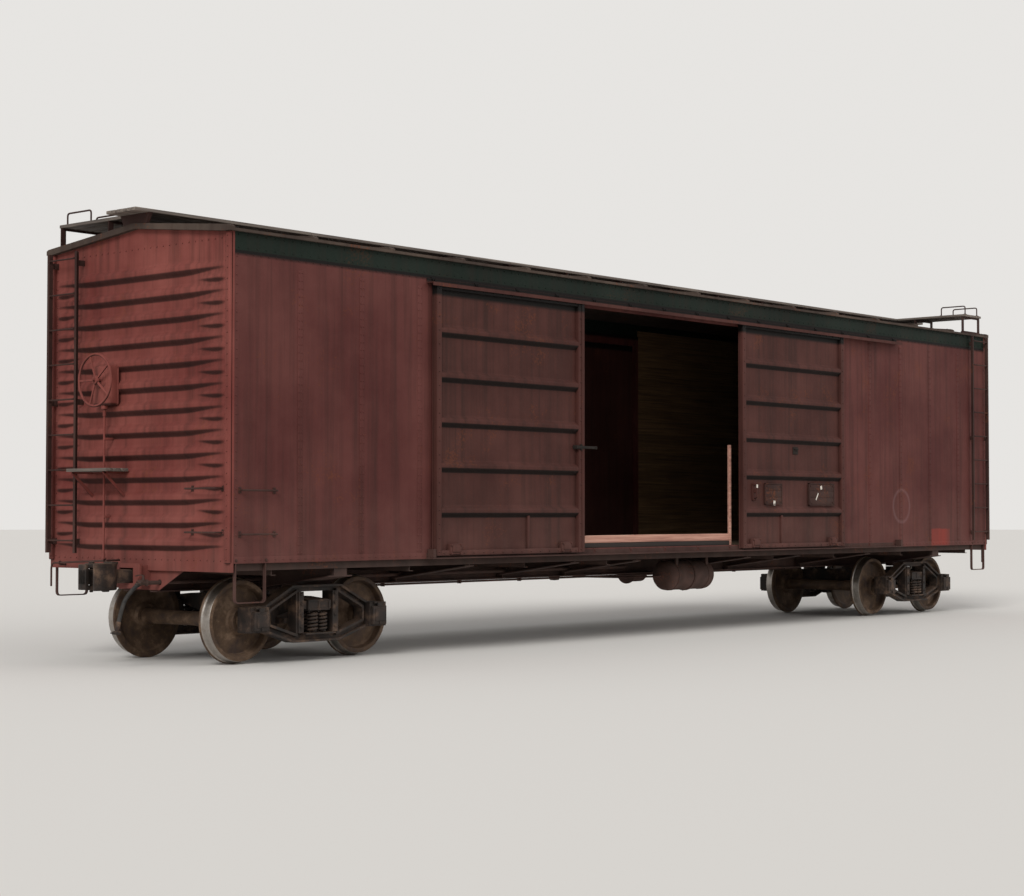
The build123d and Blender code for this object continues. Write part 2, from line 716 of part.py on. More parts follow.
knuckle_plan = [
    (PIN_X - 5, PIN_Y - 56, 30),
    (PIN_X + 95, PIN_Y - 52, 45),
    (8405, -95, 30),
    (8412, -20, 18),
    (8385, 12, 18),
    (PULLING_FACE - 8, 10, 12),
    (PULLING_FACE - 12, -45, 20),
    (PIN_X + 30, PIN_Y + 52, 20),
    (PIN_X - 5, PIN_Y + 50, 20),
]
hub_place = Pos(PIN_X, PIN_Y, COUPLER_HEIGHT)
low, high = COUPLER_HEIGHT - KNUCKLE_HALF_HEIGHT, COUPLER_HEIGHT + KNUCKLE_HALF_HEIGHT
knuckle = rounded_along("z", knuckle_plan, low, high)
knuckle += hub_place * Cylinder(HUB_RADIUS, 2 * KNUCKLE_HALF_HEIGHT)
nose = [(8345, -110), (8440, -110), (8440, 30), (8345, 30)]
low, high = COUPLER_HEIGHT - NOSE_HALF_HEIGHT, COUPLER_HEIGHT + NOSE_HALF_HEIGHT
tall = rounded_along("z", knuckle_plan, low, high)
knuckle += tall & bar_along("z", nose, low, high)
PIN_PLAY = 1.5
knuckle -= hub_place * Cylinder(PIN_RADIUS + PIN_PLAY, 300)
save("left_knuckle", to_end(knuckle, LEFT))
save("right_knuckle", knuckle)

# Uncoupling levers across each end, on brackets from the end sill
LEVER_RADIUS = 11
LEVER_FACE = 7830
LEVER_TOP = 1060
LEVER_BRACKETS = ((-1180, 1016), (-420, 1049))
lever_route = [
    (LEVER_FACE, -1330, 760),
    (LEVER_FACE, -1330, 1010),
    (LEVER_FACE, -150, LEVER_TOP),
    (8090, -60, LEVER_TOP),
]
lever = bent_bar(lever_route, LEVER_RADIUS)
for y, z in LEVER_BRACKETS:
    lever += block(END_SHEET_OUTER, LEVER_FACE + 15, y - 8, y + 8, z - 30, z + 30)
lever += block(8065, 8100, -75, -45, COUPLER_HEIGHT + HEAD_HALF_HEIGHT, LEVER_TOP + 6)
save("uncoupling_levers", to_end(lever, LEFT), lever)

# Air brake gear under the floor: reservoir, control valve and brake cylinder
RESERVOIR_X = 550
RESERVOIR_Y = -830
RESERVOIR_Z = 730
RESERVOIR_RADIUS = 190
RESERVOIR_LENGTH = 1000
RESERVOIR_END = 50
RESERVOIR_SEAM = 36
HANGER_SPREAD = 330
HANGER_HALF_WIDTH = 25
HANGER_PLATE = 12
HANGER_PLATE_ENDS = (442, 968)
reservoir_place = Pos(RESERVOIR_X, RESERVOIR_Y, RESERVOIR_Z) * Rot(0, 90, 0)
reservoir = reservoir_place * Cylinder(RESERVOIR_RADIUS, RESERVOIR_LENGTH)
reservoir = chamfer(reservoir.edges().filter_by(GeomType.CIRCLE), RESERVOIR_END)
reservoir += reservoir_place * Cylinder(RESERVOIR_RADIUS + 14, RESERVOIR_SEAM)
for x in (RESERVOIR_X - HANGER_SPREAD, RESERVOIR_X + HANGER_SPREAD):
    reservoir += block(
        x - HANGER_HALF_WIDTH,
        x + HANGER_HALF_WIDTH,
        RESERVOIR_Y - 150,
        RESERVOIR_Y + 150,
        RESERVOIR_Z + 100,
        CROSS_TOP,
    )
VALVE_X = -280
VALVE_Y = 680
VALVE_BOTTOM = 700
VALVE_TOP = 960
valve = block(VALVE_X - 150, VALVE_X + 150, VALVE_Y - 120, VALVE_Y + 120, VALVE_BOTTOM, VALVE_TOP)
valve += block(VALVE_X - 100, VALVE_X + 100, VALVE_Y - 80, VALVE_Y + 80, VALVE_BOTTOM - 60, VALVE_BOTTOM)
valve += block(VALVE_X - 50, VALVE_X + 50, VALVE_Y - 40, VALVE_Y + 40, VALVE_TOP, CROSS_TOP)
valve += block(VALVE_X - 50, VALVE_X + 50, *HANGER_PLATE_ENDS, CROSS_TOP - HANGER_PLATE, CROSS_TOP)
valve += round_bar((VALVE_X - 150, VALVE_Y, 800), (VALVE_X - 260, VALVE_Y, 800), 62)
CYLINDER_Z = 717
CYLINDER_Y = 700
CYLINDER_FRONT = 1300
CYLINDER_LENGTH = 360
CYLINDER_RADIUS = 135
CYLINDER_FLANGE = 25
PISTON_RADIUS = 28
LEVER_X = 1035
LEVER_HALF_WIDTH = 15


def along_cylinder(start, end, radius):
    """A round bar on the brake cylinder's own axis."""
    return round_bar((start, CYLINDER_Y, CYLINDER_Z), (end, CYLINDER_Y, CYLINDER_Z), radius)


cylinder = along_cylinder(CYLINDER_FRONT, CYLINDER_FRONT + CYLINDER_LENGTH, CYLINDER_RADIUS)
cylinder += along_cylinder(CYLINDER_FRONT, CYLINDER_FRONT + CYLINDER_FLANGE, CYLINDER_RADIUS + CYLINDER_FLANGE)
cylinder += along_cylinder(LEVER_X + LEVER_HALF_WIDTH, CYLINDER_FRONT, PISTON_RADIUS)
bracket = CYLINDER_FRONT + 100, CYLINDER_FRONT + 260
cylinder += block(*bracket, CYLINDER_Y - 60, CYLINDER_Y + 60, CYLINDER_Z + 110, CROSS_TOP)
cylinder += block(*bracket, *HANGER_PLATE_ENDS, CROSS_TOP - HANGER_PLATE, CROSS_TOP)
save("air_brake_gear", reservoir, valve, cylinder)

# Brake rigging: the cylinder lever below the centre sill, and rods in guides to each truck
ROD_RADIUS = 12
ROD_END = 4700
ROD_GUIDES = (1900, 3000, 4300)
rigging = block(
    LEVER_X - LEVER_HALF_WIDTH,
    LEVER_X + LEVER_HALF_WIDTH,
    -140,
    CYLINDER_Y + 60,
    CYLINDER_Z - 14,
    CYLINDER_Z + 14,
)
for y, end in ((60, RIGHT), (-100, LEFT)):
    rigging += bent_bar([(LEVER_X, y, CYLINDER_Z), (end * ROD_END, y, CYLINDER_Z)], ROD_RADIUS)
    for place in ROD_GUIDES:
        x = end * place
        rigging += block(x - 10, x + 10, y - 26, y + 26, CYLINDER_Z - 20, SILL_BOTTOM)
save("brake_rigging", rigging)

# Hand brake on the left end: housing, wheel, rod and the step below it
BRAKE_Y = 400
BRAKE_Z = 2900
BRAKE_FACE = -RIB_CREST
HOUSING_FRONT = BRAKE_FACE - 120
HOUSING_BOTTOM = BRAKE_Z - 260
HAND_WHEEL_BACK = BRAKE_FACE - 170
HAND_WHEEL_RADIUS = 280
HAND_WHEEL_RIM = 28
HAND_WHEEL_HUB = 48
SPOKES = 5
BRAKE_ROD_X = BRAKE_FACE - 60
BRAKE_ROD_BOTTOM = 1060
PLATFORM_BOTTOM = 1960
PLATFORM_TOP = 1995
PLATFORM_DEPTH = 290
PLATFORM_HALF_LENGTH = 330
brake = block(HOUSING_FRONT, BRAKE_FACE, BRAKE_Y - 150, BRAKE_Y + 150, HOUSING_BOTTOM, BRAKE_Z + 160)
rim_centre = Plane(origin=(HAND_WHEEL_BACK, BRAKE_Y, BRAKE_Z), z_dir=(-1, 0, 0))
rim = extrude(rim_centre * (Circle(HAND_WHEEL_RADIUS) - Circle(HAND_WHEEL_RADIUS - HAND_WHEEL_RIM)), 24)
for turn in range(SPOKES):
    spoke = Rot(0, 0, 360 / SPOKES * turn) * Pos(135, 0) * Rectangle(250, 26)
    rim += extrude(rim_centre * spoke, 16)
rim += extrude(rim_centre * Circle(HAND_WHEEL_HUB), 30)
brake += rim
brake += round_bar((HOUSING_FRONT, BRAKE_Y, BRAKE_Z), (HAND_WHEEL_BACK - 5, BRAKE_Y, BRAKE_Z), 22)
rod_ends = (BRAKE_ROD_X, BRAKE_Y, BRAKE_ROD_BOTTOM), (BRAKE_ROD_X, BRAKE_Y, HOUSING_BOTTOM + 10)
brake += round_bar(*rod_ends, 12)
platform = block(
    BRAKE_FACE - PLATFORM_DEPTH,
    BRAKE_FACE - 5,
    BRAKE_Y - PLATFORM_HALF_LENGTH,
    BRAKE_Y + PLATFORM_HALF_LENGTH,
    PLATFORM_BOTTOM,
    PLATFORM_TOP,
)
rod_room = BRAKE_ROD_X - 25, BRAKE_ROD_X + 25, BRAKE_Y - 25, BRAKE_Y + 25
platform -= block(*rod_room, PLATFORM_BOTTOM - 10, PLATFORM_TOP + 5)
strut = [
    (BRAKE_FACE, PLATFORM_TOP),
    (BRAKE_FACE - 270, PLATFORM_BOTTOM),
    (BRAKE_FACE - 260, PLATFORM_BOTTOM - 25),
    (BRAKE_FACE, PLATFORM_TOP - 295),
]
for y in (BRAKE_Y - 260, BRAKE_Y + 260):
    platform += bar_along("y", strut, y - 6, y + 6)
save("hand_brake", brake)
save("brake_step", platform)

# Timbers left in the near doorway: a board on edge and a stake
TIMBER_OUTER = -1383
TIMBER_INNER = -1345
BOARD_ENDS = (-2430, 804)
STAKE_EDGES = (812, 856)
board = block(*BOARD_ENDS, TIMBER_OUTER, TIMBER_INNER, FLOOR_EDGE, 1275)
stake = block(*STAKE_EDGES, TIMBER_OUTER, TIMBER_INNER, FLOOR_EDGE, 2430)
save("doorway_timbers", board, stake)

# Door tracks: a hood over the tops of the doors and a rail below them
upper_outline = [
    (SIDE_OUTER, 4022),
    (1548, 4022),
    (1548, 3992),
    (1556, 3992),
    (1556, 4030),
    (1458, 4030),
    (1458, 4075),
    (SIDE_OUTER, 4075),
]
lower_outline = [
    (SIDE_OUTER, 1045),
    (1556, 1045),
    (1556, 1055),
    (1512, 1055),
    (1512, 1063),
    (1490, 1063),
    (1490, 1055),
    (1458, 1055),
    (1458, 1110),
    (SIDE_OUTER, 1110),
]
upper, lower = [], []
for side in (NEAR, FAR):
    hood = bar_along("x", upper_outline, -TRACK_HALF_LENGTH, TRACK_HALF_LENGTH)
    rail = bar_along("x", lower_outline, -TRACK_HALF_LENGTH, TRACK_HALF_LENGTH)
    for end in (LEFT, RIGHT):
        rail += block(end * 4940, end * 4985, 1458, 1545, 1055, 1150)
    upper.append(to_side(hood, side))
    lower.append(to_side(rail, side))
save("upper_door_tracks", *upper)
save("lower_door_tracks", *lower)

# Doors: six pressed panels between five raised ribs, in a frame of deep stiles
RIB_DEPTH = DOOR_FACE - 2 - DOOR_PANEL
PANEL_PITCH = (DOOR_TOP - DOOR_BOTTOM) / DOOR_PANELS
door_rib = [
    (DOOR_PANEL, -62, 0),
    (DOOR_PANEL + RIB_DEPTH, -34, 16),
    (DOOR_PANEL + RIB_DEPTH, 20, 16),
    (DOOR_PANEL, 62, 0),
]


def door_leaf():
    """A leaf of the far side whose meeting edge is at x = 0 and which runs towards +x."""
    leaf = block(0, DOOR_WIDTH, DOOR_INNER, DOOR_PANEL, DOOR_BOTTOM, DOOR_TOP)
    for low, high in ((0, DOOR_STILE), (DOOR_WIDTH - DOOR_STILE, DOOR_WIDTH)):
        leaf += block(low, high, DOOR_PANEL, DOOR_FACE, DOOR_BOTTOM, DOOR_TOP)
    for low, high in ((DOOR_BOTTOM, DOOR_BOTTOM + 60), (DOOR_TOP - 50, DOOR_TOP)):
        leaf += block(DOOR_STILE, DOOR_WIDTH - DOOR_STILE, DOOR_PANEL, DOOR_FACE - 8, low, high)
    rib = rounded_along("x", door_rib, DOOR_STILE, DOOR_WIDTH - DOOR_STILE)
    for number in range(1, DOOR_PANELS):
        leaf += Pos(0, 0, DOOR_BOTTOM + PANEL_PITCH * number) * rib
    stiffener = block(930, 970, DOOR_PANEL, DOOR_PANEL + 26, DOOR_BOTTOM + 60, DOOR_BOTTOM + PANEL_PITCH - 62)
    leaf += stiffener
    for x in (300, DOOR_WIDTH - 300):
        leaf += block(x - 90, x + 90, DOOR_PANEL, DOOR_FACE + 25, DOOR_BOTTOM + 10, DOOR_BOTTOM + 130)
        leaf += Pos(x, 1501, DOOR_BOTTOM + 25) * Rot(90, 0, 0) * Cylinder(31.5, 22)
    return leaf


def placed(leaf, side, end, edge):
    """A leaf put on its side, with its meeting edge at one place."""
    leaf = leaf if end == RIGHT else mirror(leaf, about=Plane.YZ)
    return Pos(end * edge, 0, 0) * to_side(leaf, side)


plain_leaf = door_leaf()
latch_bar = block(-250, 130, DOOR_FACE + 8, DOOR_FACE + 20, 2290, 2326)
latch_bar += block(20, 60, DOOR_FACE, DOOR_FACE + 8, 2290, 2326)
latch_bar += block(90, 130, DOOR_PANEL, DOOR_FACE + 8, 2290, 2326)
keeper_leaf = plain_leaf + block(270, 320, DOOR_PANEL, DOOR_FACE + 18, 1700, 1930)
boards_on_leaf = [
    # start, end, low, high
    (546, 946, 1650, 1930),
    (1620, 2260, 1640, 1945),
    (1250, 1370, 2330, 2430),
]
for start, stop, low, high in boards_on_leaf:
    keeper_leaf += block(start, stop, DOOR_PANEL, DOOR_PANEL + 30, low, high)
latch_leaf = plain_leaf + latch_bar
save("near_left_door", placed(latch_leaf, NEAR, LEFT, OPEN_EDGE))
save("near_right_door", placed(keeper_leaf, NEAR, RIGHT, NEAR_RIGHT_EDGE))
save("far_right_door", placed(latch_leaf, FAR, RIGHT, SHUT_EDGE))
save("far_left_door", placed(keeper_leaf, FAR, LEFT, SHUT_EDGE))

# Wheelsets: two wheels pressed on an axle
HUB_OUTER = WHEEL_BACK + 168
AXLE_RADIUS = 88
wheel_profile = [
    # radius, distance from the middle of the axle
    (AXLE_RADIUS, WHEEL_BACK),
    (FLANGE_RADIUS, WHEEL_BACK),
    (FLANGE_RADIUS, WHEEL_BACK + 26),
    (WHEEL_RADIUS, WHEEL_BACK + 34),
    (WHEEL_RADIUS, WHEEL_BACK + RIM_WIDTH),
    (362, WHEEL_BACK + RIM_WIDTH),
    (362, WHEEL_BACK + 52),
    (140, WHEEL_BACK + 52),
    (140, HUB_OUTER),
    (AXLE_RADIUS, HUB_OUTER),
]
wheel = revolve(make_face(Polyline(*wheel_profile, close=True)), Axis.Y)
axle = round_bar((0, -HUB_OUTER, 0), (0, HUB_OUTER, 0), AXLE_RADIUS)
for side in (NEAR, FAR):
    axle += round_bar((0, side * HUB_OUTER, 0), (0, side * (JOURNAL_CENTRE + 88), 0), JOURNAL_RADIUS)

# Trucks: cast side frames with an open window for the springs and the bolster
frame_outline = [
    # x, z and fillet radius of the right half, from the bottom to the top
    (330, 205, 0),
    (722, 330, 0),
    (965, 330, 0),
    (965, 590, 0),
    (720, 600, 60),
    (340, 795, 60),
]
side_window = [
    (300, 300, 0),
    (655, 412, 0),
    (655, 535, 40),
    (300, 712, 0),
]
FRAME_INNER = 925
FRAME_OUTER = 1055
WEB_INNER = 970
WEB_OUTER = 1010
SEAT_Z = 300
COIL_TOP = 530
COIL_RADIUS = 58
FLANGE_THICKNESS = 24
COLUMN_INNER = 205
COLUMN_OUTER = 276
COLUMN_TOP = 727
BOX_INNER = 905
BOX_OUTER = 1105
BOX_HALF_WIDTH = 122
LID_HALF_WIDTH = 105
LID_FACE = 1128
JOURNAL_PLAY = 3


def both_ways(corners):
    """Mirror the right half of an outline to the left and close it."""
    return corners + [(-x, z, radius) for x, z, radius in reversed(corners)]


def side_frame():
    """A side frame of the far side, with its middle at x = 0."""
    frame = rounded_along("y", both_ways(frame_outline), WEB_INNER, WEB_OUTER)
    outer = make_face(
        FilletPolyline(
            *[(x, z) for x, z, radius in both_ways(frame_outline)],
            radius=[radius for x, z, radius in both_ways(frame_outline)],
            close=True,
        )
    )
    inner = offset(outer, -FLANGE_THICKNESS)
    flange = extrude(Plane.XZ * (outer - inner), FRAME_OUTER - FRAME_INNER, dir=(0, 1, 0))
    frame += Pos(0, FRAME_INNER, 0) * flange
    for end in (LEFT, RIGHT):
        corners = [(end * x, z, radius) for x, z, radius in side_window]
        grown = [
            (end * 274, 262, 0),
            (end * 680, 392, 0),
            (end * 680, 552, 0),
            (end * 274, 752, 0),
        ]
        frame += rounded_along("y", grown, FRAME_INNER, FRAME_OUTER)
        frame -= rounded_along("y", corners, FRAME_INNER - 5, FRAME_OUTER + 5)
        faces = FRAME_INNER - 15, FRAME_OUTER + 15
        frame += block(end * COLUMN_INNER, end * COLUMN_OUTER, *faces, SEAT_Z, COLUMN_TOP)
        box_x = end * HALF_WHEELBASE
        box = block(box_x - BOX_HALF_WIDTH, box_x + BOX_HALF_WIDTH, BOX_INNER, BOX_OUTER, 332, 588)
        box += block(box_x - LID_HALF_WIDTH, box_x + LID_HALF_WIDTH, BOX_OUTER, LID_FACE, 350, 545)
        room_ends = (box_x, BOX_INNER - 5, AXLE_HEIGHT), (box_x, BOX_OUTER - 20, AXLE_HEIGHT)
        frame += box
        frame -= round_bar(*room_ends, JOURNAL_RADIUS + JOURNAL_PLAY)
    frame -= block(-COLUMN_INNER, COLUMN_INNER, FRAME_INNER - 30, FRAME_OUTER + 30, SEAT_Z, COLUMN_TOP)
    frame += block(-COLUMN_INNER - 5, COLUMN_INNER + 5, 865, 1115, SEAT_Z - 16, SEAT_Z)
    return frame


TRUCK_BOLSTER_END = 1075
TRUCK_BOLSTER_SHOULDER = 640
TRUCK_BOLSTER_TOP = 665
TRUCK_BOLSTER_BOTTOM = 415
TRUCK_BOLSTER_HALF_WIDTH = 150
BOWL_WALL = 28
BOWL_HEIGHT = 60
BOWL_PLAY = 3
SPRING_SPACING = (66, 62)
truck_bolster_outline = [
    (-TRUCK_BOLSTER_END, TRUCK_BOLSTER_SHOULDER),
    (-TRUCK_BOLSTER_END, COIL_TOP),
    (-850, COIL_TOP),
    (-420, TRUCK_BOLSTER_BOTTOM),
    (420, TRUCK_BOLSTER_BOTTOM),
    (850, COIL_TOP),
    (TRUCK_BOLSTER_END, COIL_TOP),
    (TRUCK_BOLSTER_END, TRUCK_BOLSTER_SHOULDER),
    (800, TRUCK_BOLSTER_TOP),
    (-800, TRUCK_BOLSTER_TOP),
]
side_frame_solid = side_frame()
truck_bolster = bar_along("x", truck_bolster_outline, -TRUCK_BOLSTER_HALF_WIDTH, TRUCK_BOLSTER_HALF_WIDTH)
for y in (-SIDE_BEARING_Y, SIDE_BEARING_Y):
    pad = -SIDE_BEARING_HALF, SIDE_BEARING_HALF, y - SIDE_BEARING_HALF, y + SIDE_BEARING_HALF
    truck_bolster += block(*pad, TRUCK_BOLSTER_TOP - 5, SIDE_BEARING_BOTTOM - 8)
bowl_place = Pos(0, 0, TRUCK_BOLSTER_SHOULDER)
truck_bolster += bowl_place * Cylinder(CENTRE_PLATE_RADIUS + BOWL_WALL, BOWL_HEIGHT, align=up)
bowl_room = Cylinder(CENTRE_PLATE_RADIUS + BOWL_PLAY, BOWL_HEIGHT, align=up)
truck_bolster -= Pos(0, 0, CENTRE_PLATE_HEIGHT - 1) * bowl_room
coil = Cylinder(COIL_RADIUS, COIL_TOP - SEAT_Z, align=up)

# Brake beams: a strut between two heads, each with a curved shoe
SHOE_GAP = 10
BEAM_HALF_LENGTH = 830
BEAM_BOTTOM = 395
BEAM_TOP = 455
SHOE_SIDES = (708, 796)
SHOE_BOTTOM = 270
SHOE_TOP = 600


def brake_beam(end):
    """One beam, inside the wheelset at one end of a truck."""
    wheel_x = end * HALF_WHEELBASE
    near_x = wheel_x - end * (WHEEL_RADIUS + SHOE_GAP)
    face_x = near_x - end * 60
    tip_x = near_x + end * 60
    beam = block(face_x - end * 50, face_x, -BEAM_HALF_LENGTH, BEAM_HALF_LENGTH, BEAM_BOTTOM, BEAM_TOP)
    strut = [(face_x, -500), (face_x, 500), (tip_x, 60), (tip_x, -60)]
    beam += bar_along("z", strut, BEAM_BOTTOM + 10, BEAM_TOP - 10)
    for side in (NEAR, FAR):
        shoe = [side * y for y in SHOE_SIDES]
        beam += block(face_x - end * 25, tip_x, *shoe, SHOE_BOTTOM, SHOE_TOP)
        lug = side * (BEAM_HALF_LENGTH - 10), side * FRAME_INNER
        beam += block(end * COLUMN_OUTER, face_x, *lug, BEAM_BOTTOM + 5, BEAM_TOP - 5)
    roller = round_bar((wheel_x, -900, AXLE_HEIGHT), (wheel_x, 900, AXLE_HEIGHT), WHEEL_RADIUS + SHOE_GAP)
    return beam - roller


for end, name in ((LEFT, "left"), (RIGHT, "right")):
    place = Pos(end * TRUCK_CENTRE, 0, 0)
    frames = [place * to_side(side_frame_solid, side) for side in (NEAR, FAR)]
    save(f"{name}_truck_side_frames", *frames)
    save(f"{name}_truck_bolster", place * truck_bolster)
    coils = []
    for side in (NEAR, FAR):
        for dx in (-SPRING_SPACING[0], SPRING_SPACING[0]):
            for dy in (-SPRING_SPACING[1], SPRING_SPACING[1]):
                coils.append(place * Pos(dx, side * JOURNAL_CENTRE + dy, SEAT_Z) * coil)
    save(f"{name}_truck_springs", *coils)
    save(f"{name}_truck_brake_beams", place * brake_beam(LEFT), place * brake_beam(RIGHT))
    for inner, which in ((LEFT, "left"), (RIGHT, "right")):
        hub = place * Pos(inner * HALF_WHEELBASE, 0, AXLE_HEIGHT)
        pair = [hub * wheel, hub * mirror(wheel, about=Plane.XZ)]
        save(f"{name}_truck_{which}_wheels", *pair)
        save(f"{name}_truck_{which}_axle", hub * axle)

# Air hoses: each hangs from the brake pipe to a coupling of its own
HOSE_RADIUS = 21
hose_route = [
    (7985, 330, 830),
    (8105, 320, 735),
    (8170, 308, 605),
    (8200, 288, 430),
]


def hose_path(route):
    """Straight runs joined by tangent arcs, each as large as its two runs allow."""
    points = [Vector(*point) for point in route]
    radii = []
    for before, at, after in zip(points, points[1:], points[2:]):
        run = min((at - before).length, (after - at).length)
        turn = math.radians((at - before).get_angle(after - at))
        radii.append(0.45 * run / math.tan(turn / 2))
    return FilletPolyline(*points, radius=radii), radii


path, hose_radii = hose_path(hose_route)
start = Plane(origin=path @ 0, z_dir=path % 0)
hose = sweep(start * Circle(HOSE_RADIUS), path)
print("hose length", round(path.length), "bend radii", [round(radius) for radius in hose_radii])
save("left_air_hose", to_end(hose, LEFT))
save("right_air_hose", hose)

first = (Vector(*hose_route[1]) - Vector(*hose_route[0])).normalized()
cock_end = Vector(*hose_route[0])
cock = round_bar(tuple(cock_end - first * 60), tuple(cock_end), 27)
cock += round_bar((PIPE_END - 40, PIPE_Y, PIPE_Z), (7950, PIPE_Y, PIPE_Z + 8), 30)
cock += block(7905, 7940, PIPE_Y - 12, PIPE_Y + 12, PIPE_Z + 20, PIPE_Z + 90)
pipe_run = [(0, 0, PIPE_Z), (0, PIPE_Y, PIPE_Z), (PIPE_END, PIPE_Y, PIPE_Z)]
half_pipe = bent_bar(pipe_run, PIPE_RADIUS)
half_pipe += cock
last = (Vector(*hose_route[-1]) - Vector(*hose_route[-2])).normalized()
hose_end = Vector(*hose_route[-1])
nipple = round_bar(tuple(hose_end), tuple(hose_end + last * 70), 24)
glad = [
    (8180, 250, 10),
    (8262, 240, 25),
    (8262, 330, 25),
    (8190, 322, 10),
]
glad_hand = nipple + rounded_along("z", glad, 335, 372)
save("brake_pipe", to_end(half_pipe, LEFT) + half_pipe)
save("glad_hands", to_end(glad_hand, LEFT), glad_hand)
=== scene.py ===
# %% [markdown]
# # A fifty-foot railroad boxcar
# The steel shell, underframe, trucks and doors come from a CAD model that is
# already to size. This lesson dresses that frame: it gives each CAD piece its
# finish, and swaps some of them for finer shapes, such as turned wheels, wound
# springs and pressed ends. Everything is in metres, with X along the track,
# Z up and zero height at the tips of the wheel flanges.

import json
import math

import bmesh
import bpy
from mathutils import Matrix, Vector, noise


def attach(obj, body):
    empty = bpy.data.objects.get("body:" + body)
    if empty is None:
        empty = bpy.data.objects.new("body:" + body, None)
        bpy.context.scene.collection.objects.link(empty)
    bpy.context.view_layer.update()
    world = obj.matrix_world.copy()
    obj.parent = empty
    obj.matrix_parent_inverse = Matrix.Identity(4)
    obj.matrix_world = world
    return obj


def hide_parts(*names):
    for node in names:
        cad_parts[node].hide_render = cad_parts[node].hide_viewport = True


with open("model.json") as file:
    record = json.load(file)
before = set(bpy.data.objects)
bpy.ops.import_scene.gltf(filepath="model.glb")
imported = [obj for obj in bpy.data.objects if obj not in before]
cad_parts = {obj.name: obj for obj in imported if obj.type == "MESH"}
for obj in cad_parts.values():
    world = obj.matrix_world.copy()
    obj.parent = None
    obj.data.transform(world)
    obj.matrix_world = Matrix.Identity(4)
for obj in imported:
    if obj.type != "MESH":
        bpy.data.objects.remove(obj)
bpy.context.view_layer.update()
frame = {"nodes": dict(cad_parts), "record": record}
nodes = frame["nodes"]
scene = bpy.context.scene

# %% [markdown]
# ## Camera
# The photograph was taken from low down beside the track, looking along the
# side. The camera stands at that same spot and looks up by the same two
# degrees. It is turned a little to the left, and its lens is slightly longer,
# so that the whole vehicle fills the picture.

# %% Camera
PICTURE_WIDTH = 1024
FOCAL_PIXELS = 1955
SENSOR = 36.0
FAR_CLIP = 500
eye = Vector((-20.29, -15.94, 1.54))
heading = math.radians(40.95)
rise = math.radians(1.9)

lens = bpy.data.cameras.new("camera")
lens.sensor_width = SENSOR
lens.lens = FOCAL_PIXELS / PICTURE_WIDTH * SENSOR
lens.clip_end = FAR_CLIP
camera = bpy.data.objects.new("camera", lens)
camera.location = eye
camera.rotation_euler = (math.pi / 2 + rise, 0, heading - math.pi / 2)
scene.collection.objects.link(camera)
scene.camera = camera
print("lens", round(lens.lens, 1), "mm")

# %% [markdown]
# ## Brake hoses
# A brake hose is thick rubber that hangs from a cock on the brake pipe. Its
# own weight bends it once. Four control points of a smooth spline are enough,
# and they are the same four points that the CAD tube follows.

# %% Brake hoses
HOSE_DIAMETER = 0.042
hose_route = [
    (7.985, 0.330, 0.830),
    (8.105, 0.320, 0.735),
    (8.170, 0.308, 0.605),
    (8.200, 0.288, 0.430),
]
ends = {"left": -1, "right": 1}
hoses = {}
for end, sign in ends.items():
    curve = bpy.data.curves.new(f"{end}_brake_hose", "CURVE")
    curve.dimensions = "3D"
    curve.bevel_depth = 1.0
    curve.bevel_resolution = 6
    curve.resolution_u = 16
    curve.use_fill_caps = True
    spline = curve.splines.new("NURBS")
    spline.points.add(len(hose_route) - 1)
    for point, (x, y, z) in zip(spline.points, hose_route):
        point.co = (sign * x, sign * y, z, 1)
        point.radius = HOSE_DIAMETER / 2
    spline.order_u = 3
    spline.use_endpoint_u = True
    hose = bpy.data.objects.new(f"{end}_brake_hose", curve)
    scene.collection.objects.link(hose)
    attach(hose, "car_body")
    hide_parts(f"{end}_air_hose")
    hoses[end] = hose

# %% [markdown]
# ## Colours and nodes
# Colours are written as the sRGB codes that a paint shop would use, and the
# shaders need linear values. All the finishes are built with one function
# that adds a node, and a few short ones that name its commonest uses.

# %% Colours and one node function
def linear(code):
    """The linear values of an sRGB hex colour, with full opacity."""
    values = [int(code[start:start + 2], 16) / 255 for start in (1, 3, 5)]
    values = [v / 12.92 if v <= 0.04045 else ((v + 0.055) / 1.055) ** 2.4 for v in values]
    return (*values, 1.0)


def add(tree, kind, sockets=None, stops=None, **settings):
    """Add one node: settings are its properties, sockets are values, hex colours or links to its inputs."""
    made = tree.nodes.new("ShaderNode" + kind)
    for name, value in settings.items():
        setattr(made, name, value)
    for socket, value in (sockets or {}).items():
        if isinstance(value, bpy.types.NodeSocket):
            tree.links.new(value, made.inputs[socket])
        else:
            made.inputs[socket].default_value = linear(value) if isinstance(value, str) else value
    if stops:
        elements = made.color_ramp.elements
        while len(elements) < len(stops):
            elements.new(0.5)
        for element, (position, colour) in zip(elements, stops):
            element.position = position
            element.color = linear(colour)
    return made


def maths(tree, operation, *values, **settings):
    """The result of one sum on values or links."""
    return add(tree, "Math", dict(enumerate(values)), operation=operation, **settings).outputs[0]


def ranged(tree, value, low, high, start=0.0, stop=1.0):
    """Turn a value's stretch from low to high into start to stop, and hold it at both ends."""
    return add(tree, "MapRange", {0: value, 1: low, 2: high, 3: start, 4: stop}).outputs[0]


def tint(tree, share, below, above):
    """Lay one colour over another by a share from 0 to 1."""
    return add(tree, "Mix", {0: share, 6: below, 7: above}, data_type="RGBA").outputs[2]


def clouds(tree, place, scale, detail, roughness=0.5):
    """Soft noise with a number of patches to the metre."""
    sockets = {"Vector": place, "Scale": scale, "Detail": detail, "Roughness": roughness}
    return add(tree, "TexNoise", sockets).outputs[0]


def new_material(name):
    """An empty material, its tree, the shader at its output and the Object coordinates."""
    material = bpy.data.materials.new(name)
    material.use_nodes = True
    tree = material.node_tree
    return material, tree, tree.nodes["Principled BSDF"], add(tree, "TexCoord").outputs["Object"]


print("a mid grey is", round(linear("#808080")[0], 3), "in linear light")

